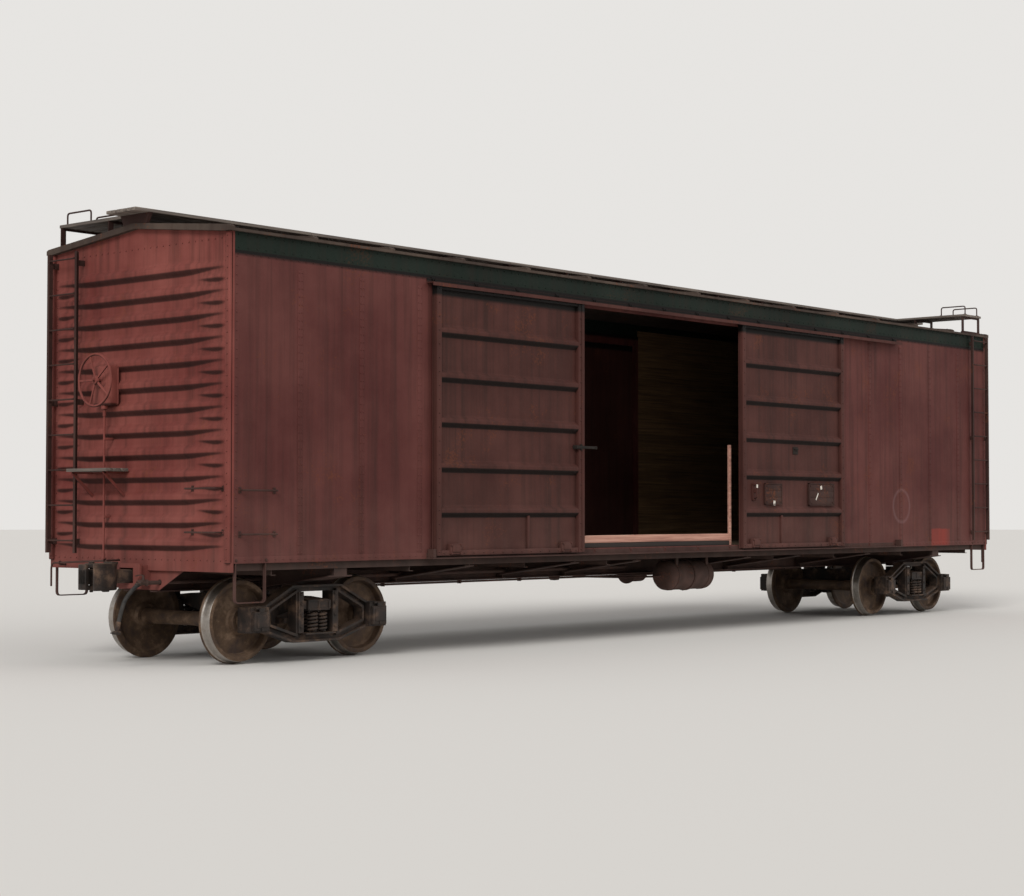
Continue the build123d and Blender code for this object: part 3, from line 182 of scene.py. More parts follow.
# %% [markdown]
# ## Studio
# A pale floor and soft light show every finish about as it is written. The
# key light comes from the hand brake end, as the sun does in the photograph,
# so that end is the brighter one and the ribs of the doors cast soft shadows.

# %% Floor and light
FLOOR_RADIUS = 160
floor_shape = bmesh.new()
bmesh.ops.create_circle(floor_shape, cap_ends=True, segments=96, radius=FLOOR_RADIUS)
floor_mesh = bpy.data.meshes.new("studio_floor")
floor_shape.to_mesh(floor_mesh)
floor_shape.free()
studio_floor = bpy.data.objects.new("studio_floor", floor_mesh)
scene.collection.objects.link(studio_floor)

floor_material, tree, shader, place = new_material("matt_pale_floor")
shader.inputs["Base Color"].default_value = linear("#DEDAD4")
shader.inputs["Roughness"].default_value = 1.0
shader.inputs["Specular IOR Level"].default_value = 0.0
floor_mesh.materials.append(floor_material)

# the room lights the car a little less brightly than the camera sees it
world = bpy.data.worlds.new("studio")
scene.world = world
world.use_nodes = True
tree = world.node_tree
tree.nodes.clear()
path = add(tree, "LightPath")
seen = maths(tree, "MAXIMUM", path.outputs["Is Camera Ray"], path.outputs["Is Glossy Ray"])
seen = maths(tree, "MAXIMUM", seen, path.outputs["Is Transmission Ray"])
room = add(tree, "Background", {"Color": "#F2F3F5", "Strength": 0.62})
backdrop = add(tree, "Background", {"Color": "#ECEAE7", "Strength": 0.95})
both = add(tree, "MixShader", {0: seen, 1: room.outputs[0], 2: backdrop.outputs[0]})
add(tree, "OutputWorld", {0: both.outputs[0]})

# name, strength, angular width in degrees, direction that the light comes from
lamps = [
    ("key", 1.75, 24, (-0.80, -0.42, 0.62)),
    ("fill", 0.55, 50, (0.45, -0.90, 0.45)),
]
for name, strength, width, source in lamps:
    lamp = bpy.data.lights.new(name, "SUN")
    lamp.energy = strength
    lamp.angle = math.radians(width)
    light = bpy.data.objects.new(name, lamp)
    light.rotation_euler = Vector(source).to_track_quat("Z", "Y").to_euler()
    scene.collection.objects.link(light)
scene.view_settings.view_transform = "Standard"
print("floor radius", FLOOR_RADIUS, "m, lamps", len(lamps))

# %% [markdown]
# ## Paint on steel
# Freight cars were sprayed with red oxide paint, which goes chalky, washes down in streaks, and rusts through
# at scratches and seams. What looks down or lies under a hood gets painted shade, a near black that draws the
# dark lines below the ribs. One recipe makes all the painted finishes. The pattern sizes are real ones:
# patches about a metre across, streaks a hand wide and a metre or more long, and rust specks of 10 to 30 mm.
# One panel also has a patch of newer paint and a ring that somebody drew with chalk.

# %% Parts of the paint recipe
WASH_SCALE = (9.0, 9.0, 0.32)
# the near black of painted shade and painted shadow
SHADE_BLACK = "#0E0A08"
WET_DIRT = "#2A1A15"
CHALK = "#94787A"


def facing_up(tree):
    """How far a face looks up: 1 for a floor, 0 for a wall and -1 for a ceiling."""
    normal = add(tree, "NewGeometry").outputs["Normal"]
    return add(tree, "SeparateXYZ", {0: normal}).outputs[2]


def brushed_patch(tree, apart, puffs, low_x, high_x, low_z, high_z):
    """1 inside a rectangle on the side of the car, with the uneven edge that a brush leaves."""
    inside = 1.0
    for value, low, high in ((apart[0], low_x, high_x), (apart[2], low_z, high_z)):
        off = maths(tree, "ABSOLUTE", maths(tree, "SUBTRACT", value, (low + high) / 2))
        wobble = maths(tree, "MULTIPLY_ADD", puffs, 0.05, off)
        reach = (high - low) / 2 + 0.025
        inside = maths(tree, "MULTIPLY", ranged(tree, wobble, reach + 0.01, reach - 0.01), inside)
    return inside


def chalk_ring(tree, place, specks, x, z, radius):
    """A faint, rubbed ring on the side of the car."""
    flat = add(tree, "VectorMath", {0: place, 1: (1, 0, 1)}, operation="MULTIPLY").outputs[0]
    reach = add(tree, "VectorMath", {0: flat, 1: (x, 0, z)}, operation="DISTANCE").outputs["Value"]
    off = maths(tree, "ABSOLUTE", maths(tree, "SUBTRACT", reach, radius))
    return maths(tree, "MULTIPLY", ranged(tree, off, 0.036, 0.004, 0, 0.34), specks)


def skin(tree, shader, colour, matt, height, strength, depth, edge=None):
    """Plug a colour, a roughness and a relief into a shader."""
    tree.links.new(colour, shader.inputs["Base Color"])
    tree.links.new(matt, shader.inputs["Roughness"])
    bump = add(tree, "Bump", {"Height": height, "Strength": strength, "Distance": depth})
    if edge:
        tree.links.new(edge, bump.inputs["Normal"])
    tree.links.new(bump.outputs[0], shader.inputs["Normal"])


print("soot reflects", round(linear(SHADE_BLACK)[0], 4), "of red light")

# %% [markdown]
# ## Layers of paint, dirt and painted shade
# Each layer lies over the one before by a share from 0 to 1: chalky paint, wet dirt, rust, road dust and
# painted shade. They follow the Object coordinates, and the painted shade also follows how far a face looks
# down, so all of it stays on the steel when a door slides or a truck turns.

# %% Painted finishes
def old_paint(name, fresh, chalked, rust="#6B3A22", dust="#765850", dust_height=1.9, dust_amount=0.35,
              streak=0.5, rusty=0.35, rough=0.72, painted_shade=0.0, painted_shade_from=None, repaint=None, chalk=None):
    """Weathered paint. Painted shade darkens what looks down, and a painted shadow darkens all that is higher
    than a given height.
    """
    material, tree, shader, place = new_material(name)
    apart = add(tree, "SeparateXYZ", {0: place}).outputs
    drawn_down = add(tree, "Mapping", {"Vector": place, "Scale": WASH_SCALE}).outputs[0]
    washes = clouds(tree, drawn_down, 1.0, 5.0, 0.62)
    specks = clouds(tree, place, 34.0, 6.0, 0.7)
    spots = maths(tree, "MULTIPLY", specks, clouds(tree, place, 2.3, 3.0))
    puffs = clouds(tree, place, 5.0, 5.0)

    colour = tint(tree, ranged(tree, clouds(tree, place, 0.9, 4.0, 0.6), 0.35, 0.68), fresh, chalked)
    colour = tint(tree, ranged(tree, washes, 0.47, 0.70, 0, streak), colour, WET_DIRT)
    colour = tint(tree, ranged(tree, washes, 0.44, 0.26, 0, streak * 0.6), colour, chalked)
    colour = tint(tree, ranged(tree, spots, 0.335, 0.40, 0, rusty), colour, rust)
    low = maths(tree, "MULTIPLY", ranged(tree, apart[2], dust_height, 0.2, 0, dust_amount), puffs)
    colour = tint(tree, maths(tree, "MULTIPLY", low, 1.7, use_clamp=True), colour, dust)
    # painted shade: faces that look down turn near black
    if painted_shade:
        colour = tint(tree, ranged(tree, facing_up(tree), -0.10, -0.45, 0, painted_shade), colour, SHADE_BLACK)
    # painted shadow: all above one height turns near black, as under a hood or an eave
    if painted_shade_from:
        colour = tint(tree, ranged(tree, apart[2], painted_shade_from, painted_shade_from + 0.035), colour, SHADE_BLACK)
    if repaint:
        *edges, shade = repaint
        worn = ranged(tree, washes, 0.40, 0.62, 0.85, 0.35)
        repainted = maths(tree, "MULTIPLY", brushed_patch(tree, apart, puffs, *edges), worn)
        colour = tint(tree, repainted, colour, shade)
    if chalk:
        colour = tint(tree, chalk_ring(tree, place, specks, *chalk), colour, CHALK)
    shader.inputs["Specular IOR Level"].default_value = 0.18
    skin(tree, shader, colour, ranged(tree, specks, 0, 1, rough - 0.12, rough + 0.16), spots, 0.25, 0.004)
    return material


# above this height the walls are painted in the shadow of the eave
EAVE_SHADE_HEIGHT = 4.050
finishes = {
    # both side paints carry a painted shadow under the eave
    "side_paint": old_paint("chalked_red_oxide_paint", "#4C2421", "#603631", painted_shade_from=EAVE_SHADE_HEIGHT),
    "patched_side_paint": old_paint("patched_red_oxide_paint", "#4C2421", "#603631", painted_shade_from=EAVE_SHADE_HEIGHT,
                                    repaint=(6.00, 6.58, 1.05, 1.30, "#83362D"), chalk=(5.13, 1.64, 0.235)),
    # painted shade below the ribs, and a painted shadow of the hood along the top of each leaf
    "door_paint": old_paint("door_red_oxide_paint_with_painted_shade", "#3E211C", "#52302A", streak=0.6, painted_shade=0.9,
                            painted_shade_from=3.880),
    # painted shade over all above the hood's red lip
    "track_paint": old_paint("track_paint_with_painted_shade", "#3E211C", "#52302A", rusty=0.5, painted_shade_from=4.024),
    # a lighter copy of the red oxide, painted as sunlit, with painted shade below the ribs
    "end_paint": old_paint("sunlit_red_oxide_paint", "#642D28", "#82473F", painted_shade=0.75),
    # partly roof paint lapped over the eave, partly painted shade of the eave
    "band_paint": old_paint("eave_band_paint_and_painted_shade", "#0D1811", "#19231C", streak=0.3, rusty=0.15),
    "roof_paint": old_paint("roof_car_cement", "#3A302B", "#55483F", rusty=0.6, rough=0.82),
    "hardware": old_paint("brushed_red_oxide_iron", "#301C19", "#44302A", rusty=0.6),
    "underframe": old_paint("black_underframe_enamel", "#1C1917", "#322C27", dust_height=1.3,
                            dust_amount=0.75, rusty=0.6, rough=0.8),
}
print("painted finishes:", ", ".join(finishes))

# %% [markdown]
# ## Castings and wheels
# Truck castings are steel under oil and brown dust, and dust lies thickest on
# what looks up. Wheels are rusty on the plate and polished by the rail on the
# tread. A sand casting has no sharp edges, so the light is bent a little round
# every corner.

# %% Steel finishes
def cast_steel(name, base, grime, dust, metallic=0.35, rough=0.72):
    """Sand-cast or rolled steel with a rusty, dusty skin and a grain of a few millimetres."""
    material, tree, shader, place = new_material(name)
    blotches = clouds(tree, place, 6.0, 7.0, 0.65)
    ramp = add(tree, "ValToRGB", {0: blotches}, stops=[(0.36, base), (0.52, grime), (0.68, dust)])
    colour = tint(tree, ranged(tree, facing_up(tree), 0.35, 1.0, 0, 0.55), ramp.outputs[0], dust)
    shader.inputs["Metallic"].default_value = metallic
    soft_edge = add(tree, "Bevel", {"Radius": 0.007}, samples=6).outputs[0]
    skin(tree, shader, colour, ranged(tree, blotches, 0, 1, rough - 0.2, rough + 0.2),
         clouds(tree, place, 160.0, 3.0), 0.3, 0.0015, soft_edge)
    return material


finishes["cast_steel"] = cast_steel("oily_cast_steel", "#1F1A17", "#352A24", "#6A5444")
finishes["wheel_steel"] = cast_steel("rusty_wheel_steel", "#3A2B24", "#54402F", "#7A6350")
finishes["tread_steel"] = cast_steel("rail_polished_tread", "#8D8781", "#A39C95", "#7F766D",
                                     metallic=0.9, rough=0.38)
print("finishes so far:", len(finishes))

# %% [markdown]
# ## Timber and rubber
# Boards go grey outdoors and stay tan inside. Every board was sawn from its
# own log, so each one gets a tone of its own: its number across the pattern
# seeds a random value. The grain is the same noise, drawn out along the board.

# %% Timber and rubber finishes
X_AXIS, Y_AXIS, Z_AXIS = 0, 1, 2
GRAIN_ACROSS = 38.0
GRAIN_ALONG = 1.1


def boards(name, pale, middle, dark, grain_axis, board_axis, pitch, rough=0.82):
    """Sawn softwood: long grain along one axis and a tone of its own for each board."""
    material, tree, shader, place = new_material(name)
    stretch = [GRAIN_ALONG if axis == grain_axis else GRAIN_ACROSS for axis in (X_AXIS, Y_AXIS, Z_AXIS)]
    grain = clouds(tree, add(tree, "Mapping", {"Vector": place, "Scale": stretch}).outputs[0], 1.0, 8.0, 0.7)
    across = add(tree, "SeparateXYZ", {0: place}).outputs[board_axis]
    number = maths(tree, "FLOOR", maths(tree, "DIVIDE", across, pitch))
    tone = add(tree, "TexWhiteNoise", {"W": number}, noise_dimensions="1D").outputs[0]
    ramp = add(tree, "ValToRGB", {0: grain}, stops=[(0.32, dark), (0.50, middle), (0.66, pale)])
    stained = maths(tree, "MULTIPLY", tone, clouds(tree, place, 2.6, 4.0))
    colour = tint(tree, stained, ramp.outputs[0], dark)
    skin(tree, shader, colour, ranged(tree, grain, 0, 1, rough - 0.1, rough + 0.12), grain, 0.5, 0.003)
    return material


WEATHERED = ("#8A7F73", "#6B6058", "#453D37")
finishes["floor_wood"] = boards("worn_floor_planks", "#6E5A46", "#54432F", "#33281C", Y_AXIS, X_AXIS, 0.14)
finishes["lining_wood"] = boards("tan_lining_boards", "#8A6B49", "#6F5336", "#4A3520", X_AXIS, Z_AXIS, 0.135)
finishes["board_wood"] = boards("grey_walk_boards", *WEATHERED, X_AXIS, Y_AXIS, 0.165)
finishes["cross_board_wood"] = boards("grey_branch_boards", *WEATHERED, Y_AXIS, X_AXIS, 0.190)
finishes["fresh_wood"] = boards("fresh_sawn_pine", "#CDA28E", "#B98774", "#80564A", X_AXIS, Z_AXIS, 0.3)
# near black boards: painted shade under the pale plank
finishes["shade_dark_wood"] = boards("sawn_plank_in_painted_shade", "#3A2D24", "#2B211A", "#181210", X_AXIS, Z_AXIS, 0.3)


def mottled(name, scale, detail, dark_stop, pale_stop, rough):
    """A plain material whose tone drifts between two colours."""
    material, tree, shader, place = new_material(name)
    ramp = add(tree, "ValToRGB", {0: clouds(tree, place, scale, detail)}, stops=[dark_stop, pale_stop])
    tree.links.new(ramp.outputs[0], shader.inputs["Base Color"])
    shader.inputs["Roughness"].default_value = rough
    return material


finishes["hose_rubber"] = mottled("dusty_black_rubber", 14.0, 5.0, (0.4, "#171615"), (0.7, "#3A3531"), 0.78)
finishes["card"] = mottled("weathered_card", 90.0, 4.0, (0.35, "#BFB4A6"), (0.65, "#E2DCD2"), 0.9)
print("all finishes:", len(finishes))

# %% [markdown]
# ## Finishes on the frame
# The CAD record names a slot for each node, and the slots have the names of the finishes. The hood over the
# doors is the one exception: it takes the track paint, with painted shade on all above its red lip, which is
# where it looks dark.

# %% Each CAD node takes the finish of its slot
slot_of = {part["node"]: part["material_slot"] for part in frame["record"]["subparts"]}
for name, node in nodes.items():
    node.data.materials.clear()
    node.data.materials.append(finishes[slot_of[name]])
nodes["upper_door_tracks"].data.materials[0] = finishes["track_paint"]
for hose in hoses.values():
    hose.data.materials.append(finishes["hose_rubber"])
print("dressed nodes:", len(slot_of))

# %% [markdown]
# ## Places
# A freight car is nearly the same at both ends and on both sides, so a part
# is shaped once and then copied. A place is a matrix: a move, a turn or a
# mirror, and two lists of places combine into all their pairs.

# %% Places
HERE = [Matrix.Identity(4)]
TURNED_ROUND = Matrix.Rotation(math.pi, 4, "Z")
MIRROR_X = Matrix.Scale(-1, 4, (1, 0, 0))
MIRROR_Y = Matrix.Scale(-1, 4, (0, 1, 0))
BOTH_ENDS = [*HERE, TURNED_ROUND]
BOTH_SIDES = [*HERE, MIRROR_Y]
BOTH_HANDS = [*HERE, MIRROR_X]
FOUR_CORNERS = [*HERE, MIRROR_X, MIRROR_Y, MIRROR_X @ MIRROR_Y]


def at(*place):
    """A matrix that moves a shape to a place."""
    return Matrix.Translation(place)


def turn(degrees, axis):
    """A matrix that turns a shape about an axis."""
    return Matrix.Rotation(math.radians(degrees), 4, axis)


def pairs(outer, inner):
    """Every inner place as seen from every outer place."""
    return [first @ second for first in outer for second in inner]


OUT_FAR = turn(-90, "X")
OUT_NEAR = turn(90, "X")
OUT_RIGHT = turn(90, "Y")
OUT_LEFT = turn(-90, "Y")
print("corners of the car:", len(FOUR_CORNERS))

# %% [markdown]
# ## Shapes
# A few helpers cover nearly every part of a freight car: a bevelled block, a
# turned shape, and a bar drawn along a path. Each returns a closed mesh with
# its faces outwards, ready to be copied.

# %% Shape helpers
def shaped(part):
    """Turn a bmesh into a mesh whose faces point outwards."""
    bmesh.ops.recalc_face_normals(part, faces=part.faces)
    mesh = bpy.data.meshes.new("shape")
    part.to_mesh(mesh)
    part.free()
    return mesh


def block(low, high, bevel=0.0, segments=2):
    """A box between two corners, with rounded edges."""
    low, high = Vector(low), Vector(high)
    part = bmesh.new()
    cube = bmesh.ops.create_cube(part, size=1.0)["verts"]
    bmesh.ops.scale(part, vec=high - low, verts=cube)
    bmesh.ops.translate(part, vec=(low + high) / 2, verts=cube)
    if bevel:
        bmesh.ops.bevel(part, geom=part.edges[:], offset=bevel, segments=segments, profile=0.5,
                        affect="EDGES", material=-1)
    return shaped(part)


def turned(outline, steps=48, closed=True):
    """Spin an outline of (radius, height) round the Z axis."""
    part = bmesh.new()
    chain = [part.verts.new((radius, 0, height)) for radius, height in outline]
    following = chain[1:] + (chain[:1] if closed else [])
    edges = [part.edges.new(pair) for pair in zip(chain, following)]
    bmesh.ops.spin(part, geom=chain + edges, cent=(0, 0, 0), axis=(0, 0, 1), angle=math.tau,
                   steps=steps, use_merge=True, use_duplicate=False)
    bmesh.ops.remove_doubles(part, verts=part.verts, dist=1e-5)
    return shaped(part)


def mirrored(half, waist):
    """An outline that is the same on both sides of its waist."""
    return [(radius, -reach) for radius, reach in half[::-1]] + [(waist, 0.0)] + half


def circle(radius, sides=10):
    """The corners of a round section."""
    angles = [math.tau * number / sides for number in range(sides)]
    return [(radius * math.cos(angle), radius * math.sin(angle)) for angle in angles]


def rounded(points, radius, steps=4):
    """A path whose inner corners are turned into arcs."""
    points = [Vector(point) for point in points]
    path = [points[0]]
    for before, corner, after in zip(points, points[1:], points[2:]):
        back, onward = (before - corner).normalized(), (after - corner).normalized()
        reach = min(radius, (before - corner).length * 0.45, (after - corner).length * 0.45)
        start, stop = corner + back * reach, corner + onward * reach
        for step in range(steps + 1):
            t = step / steps
            path.append(start * (1 - t) ** 2 + corner * 2 * t * (1 - t) + stop * t ** 2)
    return path + [points[-1]]


print("corners in a round bar:", len(circle(0.01)))

# %% [markdown]
# ## Bars
# Irons, pipes and straps are all bar that has been bent. A smith sees a
# section and a line, so one function draws a section along a path, and the
# sides of the bar keep facing the same way round each bend.

# %% Bars drawn along a path
def drawn(section, path, up=(0, 0, 1)):
    """Draw a section along a path. The section's second axis starts along up.

    A pushed face stays behind. The first one closes the bar, and the others come out.
    """
    path = [Vector(point) for point in path]
    ahead = (path[1] - path[0]).normalized()
    side = Vector(up).cross(ahead)
    side = side.normalized() if side.length > 1e-4 else ahead.orthogonal().normalized()
    stance = Matrix((side, ahead.cross(side), ahead)).transposed().to_quaternion()
    part = bmesh.new()
    before = Matrix.LocRotScale(path[0], stance, None)
    face = part.faces.new([part.verts.new(before @ Vector((u, v, 0))) for u, v in section])
    for number, point in enumerate(path[1:], start=1):
        arriving = (point - path[number - 1]).normalized()
        leaving = (path[number + 1] - point).normalized() if number + 1 < len(path) else arriving
        tangent = (arriving + leaving).normalized()
        stance = ahead.rotation_difference(tangent) @ stance
        ahead = tangent
        now = Matrix.LocRotScale(point, stance, None)
        pushed = bmesh.ops.extrude_face_region(part, geom=[face])["geom"]
        if number > 1:
            bmesh.ops.delete(part, geom=[face], context="FACES_ONLY")
        corners = [item for item in pushed if isinstance(item, bmesh.types.BMVert)]
        face = next(item for item in pushed if isinstance(item, bmesh.types.BMFace))
        bmesh.ops.transform(part, matrix=now @ before.inverted(), verts=corners)
        before = now
    return shaped(part)


def flat_bar(wide, thick):
    """The corners of a flat section."""
    return [(-wide / 2, -thick / 2), (wide / 2, -thick / 2), (wide / 2, thick / 2), (-wide / 2, thick / 2)]


def staple(start, stop, out):
    """A path that stands out from start, runs along and comes back in at stop."""
    start, stop, out = Vector(start), Vector(stop), Vector(out)
    return [start, start + out, stop + out, stop]


print("corners in a staple:", len(staple((0, 0, 0), (1, 0, 0), (0, 0, 1))))

# %% [markdown]
# ## Pieces
# One function joins copies of shapes into one mesh, as a smith would rivet a
# bracket together. Another makes such a mesh a piece of the vehicle: it gets
# a finish, soft shading with sharp edges, and a body to ride on.

# %% Two functions that join shapes
def merged(shapes, name="shape"):
    """One mesh of many shapes. Each is a mesh, or a mesh and the places of its copies."""
    whole = bmesh.new()
    for item in shapes:
        shape, places = item if isinstance(item, tuple) else (item, HERE)
        for place in places:
            copy = shape.copy()
            copy.transform(place)
            if place.determinant() < 0:
                copy.flip_normals()
            whole.from_mesh(copy)
            bpy.data.meshes.remove(copy)
    mesh = bpy.data.meshes.new(name)
    whole.to_mesh(mesh)
    whole.free()
    return mesh


def piece(name, shapes, slot, body="car_body", stands_for=(), sharp=32, wears=None):
    """Join shapes into a piece that rides on a body. It has its slot's finish, or the one it wears."""
    mesh = merged(shapes, name)
    mesh.materials.append(finishes[wears or slot])
    mesh.shade_smooth()
    mesh.set_sharp_from_angle(angle=math.radians(sharp))
    made = bpy.data.objects.new(name, mesh)
    scene.collection.objects.link(made)
    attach(made, body)
    if stands_for:
        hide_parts(*stands_for)
    print(f"{name}: {len(mesh.polygons)} faces")
    return made


# %% [markdown]
# ## Wheels and axles
# A freight wheel is turned: a flange that guides it, a tread with a slight
# cone, a rim, a thin dished plate and a hub. Spinning the outline once round
# the axle gives all of them at once.

# %% Wheels
AXLE_HEIGHT = 0.444
TRUCK_CENTRE = 6.225
HALF_WHEELBASE = 0.838
TREAD_RADII = (0.411, 0.434)
TREAD_WIDTH = (0.705, 0.812)
wheel_outline = [
    # radius, distance from the middle of the axle
    (0.088, 0.680), (0.128, 0.680), (0.136, 0.690), (0.150, 0.714), (0.220, 0.721), (0.300, 0.712),
    (0.345, 0.700), (0.362, 0.688), (0.372, 0.678), (0.430, 0.677), (0.438, 0.679), (0.443, 0.684),
    (0.444, 0.691), (0.442, 0.699), (0.435, 0.706), (0.425, 0.712), (0.421, 0.720), (0.4195, 0.730),
    (0.419, 0.742), (0.4155, 0.805), (0.412, 0.814), (0.405, 0.817), (0.374, 0.817), (0.366, 0.812),
    (0.360, 0.795), (0.352, 0.752), (0.335, 0.738), (0.300, 0.742), (0.220, 0.756), (0.160, 0.765),
    (0.143, 0.785), (0.138, 0.835), (0.132, 0.845), (0.092, 0.845),
]
wheel = turned(wheel_outline, steps=64)
for face in wheel.polygons:
    radius = math.hypot(face.center.x, face.center.y)
    rolls = TREAD_RADII[0] < radius < TREAD_RADII[1] and TREAD_WIDTH[0] < face.center.z < TREAD_WIDTH[1]
    face.material_index = int(rolls)
half_axle = [
    # from the middle out to the collar at the end of the journal
    (0.080, 0.620), (0.088, 0.680), (0.088, 0.850), (0.082, 0.880), (0.060, 0.900), (0.060, 1.056),
    (0.070, 1.060), (0.070, 1.070), (0.062, 1.078), (0.0, 1.078),
]
axle = turned(mirrored(half_axle, 0.074), steps=32, closed=False)
trucks = {"left": -1, "right": 1}
for truck, truck_sign in trucks.items():
    for which, sign in ends.items():
        node = f"{truck}_truck_{which}"
        middle = at(truck_sign * TRUCK_CENTRE + sign * HALF_WHEELBASE, 0, AXLE_HEIGHT) @ OUT_FAR
        made = piece(f"{node}_turned_wheels", [(wheel, [middle, middle @ turn(180, "X")])],
                     "wheel_steel", f"{node}_wheelset", [f"{node}_wheels"])
        made.data.materials.append(finishes["tread_steel"])
        piece(f"{node}_turned_axle", [(axle, [middle])], "wheel_steel", f"{node}_wheelset", [f"{node}_axle"])

# %% [markdown]
# ## Springs
# Each side of a truck stands on four nests of coil springs, an outer and an
# inner one. A spin that also moves along its axis at every step winds a coil.

# %% Springs
SEAT_Z = 0.300
COIL_TOP = 0.530
SPRING_Y = 0.990
NEST_HALF_PITCH = (0.066, 0.062)


def coil(mean_radius, wire_radius, turns, bottom, top, steps_each_turn=20):
    """Wind a round wire from bottom to top."""
    part = bmesh.new()
    wire = bmesh.ops.create_circle(part, cap_ends=False, segments=8, radius=wire_radius)["verts"]
    stand = at(mean_radius, 0, bottom + wire_radius) @ OUT_NEAR
    bmesh.ops.transform(part, matrix=stand, verts=wire)
    steps = round(turns * steps_each_turn)
    climb = (top - bottom - 2 * wire_radius) / steps
    bmesh.ops.spin(part, geom=part.verts[:] + part.edges[:], cent=(0, 0, 0), axis=(0, 0, 1),
                   dvec=(0, 0, climb), angle=math.tau * turns, steps=steps, use_duplicate=False)
    bmesh.ops.holes_fill(part, edges=part.edges, sides=8)
    return shaped(part)


outer_coil = coil(0.045, 0.013, 5.5, SEAT_Z, COIL_TOP)
inner_coil = coil(0.022, 0.008, 7.5, SEAT_Z, COIL_TOP, 14)
half_x, half_y = NEST_HALF_PITCH
for truck, truck_sign in trucks.items():
    nests = [
        at(truck_sign * TRUCK_CENTRE + dx, side * SPRING_Y + dy, 0)
        for side in (-1, 1)
        for dx in (-half_x, half_x)
        for dy in (-half_y, half_y)
    ]
    piece(f"{truck}_truck_wound_springs", [(outer_coil, nests), (inner_coil, nests)], "cast_steel",
          f"{truck}_truck", [f"{truck}_truck_springs"], sharp=60)

# %% [markdown]
# ## Pressed ends
# An end is one sheet of steel that a press has pushed out into ribs. The ribs
# are deep in the middle and taper away towards the corner posts, and between
# their tips sit small darts. A fine grid whose points are pushed outwards by
# a smooth curve gives the soft edges that a press leaves.

# %% How far the press pushes
END_FACE = 7.752
SHEET_BOTTOM = 1.045
SIDE_OUTER = 1.450
RIBS = 13
RIB_LOW = 1.235
RIB_PITCH = 0.228
RIB_DEPTH = 0.048
RIB_HALF_HEIGHT = 0.080
RIB_TAPER_START = 0.70
RIB_TAPER_LENGTH = 0.62
RIB_END = 1.30
TIP_SHARE = 0.22
DART_START = 0.86
DART_END = 1.29
DART_DEPTH = 0.030


def smooth_step(value):
    """0 below 0, 1 above 1, and an S curve between."""
    value = min(1.0, max(0.0, value))
    return value * value * (3 - 2 * value)


def rib_push(y, z):
    """How far the sheet is pressed out at one place."""
    push = 0.0
    number = round((z - RIB_LOW) / RIB_PITCH)
    if 0 <= number < RIBS:
        share = 1 - (1 - TIP_SHARE) * smooth_step((abs(y) - RIB_TAPER_START) / RIB_TAPER_LENGTH)
        share *= 1 - smooth_step((abs(y) - RIB_END) / 0.045)
        away = abs(z - RIB_LOW - RIB_PITCH * number) / (RIB_HALF_HEIGHT * (0.35 + 0.65 * share))
        push = RIB_DEPTH * share * (1 - smooth_step((away - 0.22) / 0.78))
    number = round((z - RIB_LOW) / RIB_PITCH - 0.5)
    if 0 <= number < RIBS - 1:
        share = smooth_step((abs(y) - DART_START) / 0.40) * (1 - smooth_step((abs(y) - DART_END) / 0.05))
        away = abs(z - RIB_LOW - RIB_PITCH * (number + 0.5)) / (0.012 + 0.045 * share)
        push = max(push, DART_DEPTH * share * (1 - smooth_step((away - 0.15) / 0.85)))
    return push


print("deepest push", round(max(rib_push(0, RIB_LOW + 0.01 * step) for step in range(20)), 3), "m")

# %% [markdown]
# ## End sheets and corner posts
# The pressed sheet lies on a plate with the gable's outline, and rolled posts
# close the corners. Both ends are the same end, turned round.

# %% Pressed end sheets
EAVE_BOTTOM = 4.290
RIDGE_BOTTOM = 4.440
GABLE_INNER = 7.715
ROOF_HALF = 1.400
SHEET_HALF = 1.405
SHEET_TOP = 4.270
SHEET_ROWS, SHEET_COLUMNS = 264, 56
sheet = bmesh.new()
bmesh.ops.create_grid(sheet, x_segments=SHEET_COLUMNS, y_segments=SHEET_ROWS, size=0.5)
for vertex in sheet.verts:
    y = vertex.co.x * 2 * SHEET_HALF
    z = SHEET_BOTTOM + (vertex.co.y + 0.5) * (SHEET_TOP - SHEET_BOTTOM)
    vertex.co = (END_FACE + rib_push(y, z), y, z)
pressed = shaped(sheet)
gable = [
    (-SIDE_OUTER, SHEET_BOTTOM), (SIDE_OUTER, SHEET_BOTTOM), (SIDE_OUTER, EAVE_BOTTOM),
    (ROOF_HALF, EAVE_BOTTOM), (0, RIDGE_BOTTOM), (-ROOF_HALF, EAVE_BOTTOM), (-SIDE_OUTER, EAVE_BOTTOM),
]
gable_plate = drawn(gable, [(GABLE_INNER, 0, 0), (END_FACE - 0.001, 0, 0)])
post = block((7.732, 1.382, SHEET_BOTTOM), (7.780, SIDE_OUTER, EAVE_BOTTOM), bevel=0.011, segments=3)
for end, places in (("right", HERE), ("left", [TURNED_ROUND])):
    piece(f"{end}_pressed_end",
          [(pressed, places), (gable_plate, places), (post, pairs(places, BOTH_SIDES))],
          "end_paint", stands_for=[f"{end}_end"])

# %% [markdown]
# ## Rivets and bolts
# Riveted steel is covered in small domes. One dome of a few faces is enough,
# because it is repeated hundreds of times. Rows are built first and then the
# rows are copied, which is quicker than placing every rivet by itself.

# %% Rivets and bolts
def head(radius, height, sides=8):
    """A rivet head that stands up from z = 0."""
    return turned([(0, height), (radius * 0.62, height * 0.82), (radius, 0), (0, -0.002)],
                  steps=sides, closed=False)


def bolt(radius, height):
    """A six-sided bolt head with a washer, standing up from z = 0."""
    part = bmesh.new()
    washer_and_head = ((radius * 1.5, -0.002, height * 0.25, 12), (radius, height * 0.2, height, 6))
    for size, low, high, sides in washer_and_head:
        made = bmesh.ops.create_cone(part, cap_ends=True, segments=sides, radius1=size, radius2=size,
                                     depth=high - low)["verts"]
        bmesh.ops.translate(part, vec=(0, 0, (low + high) / 2), verts=made)
    return shaped(part)


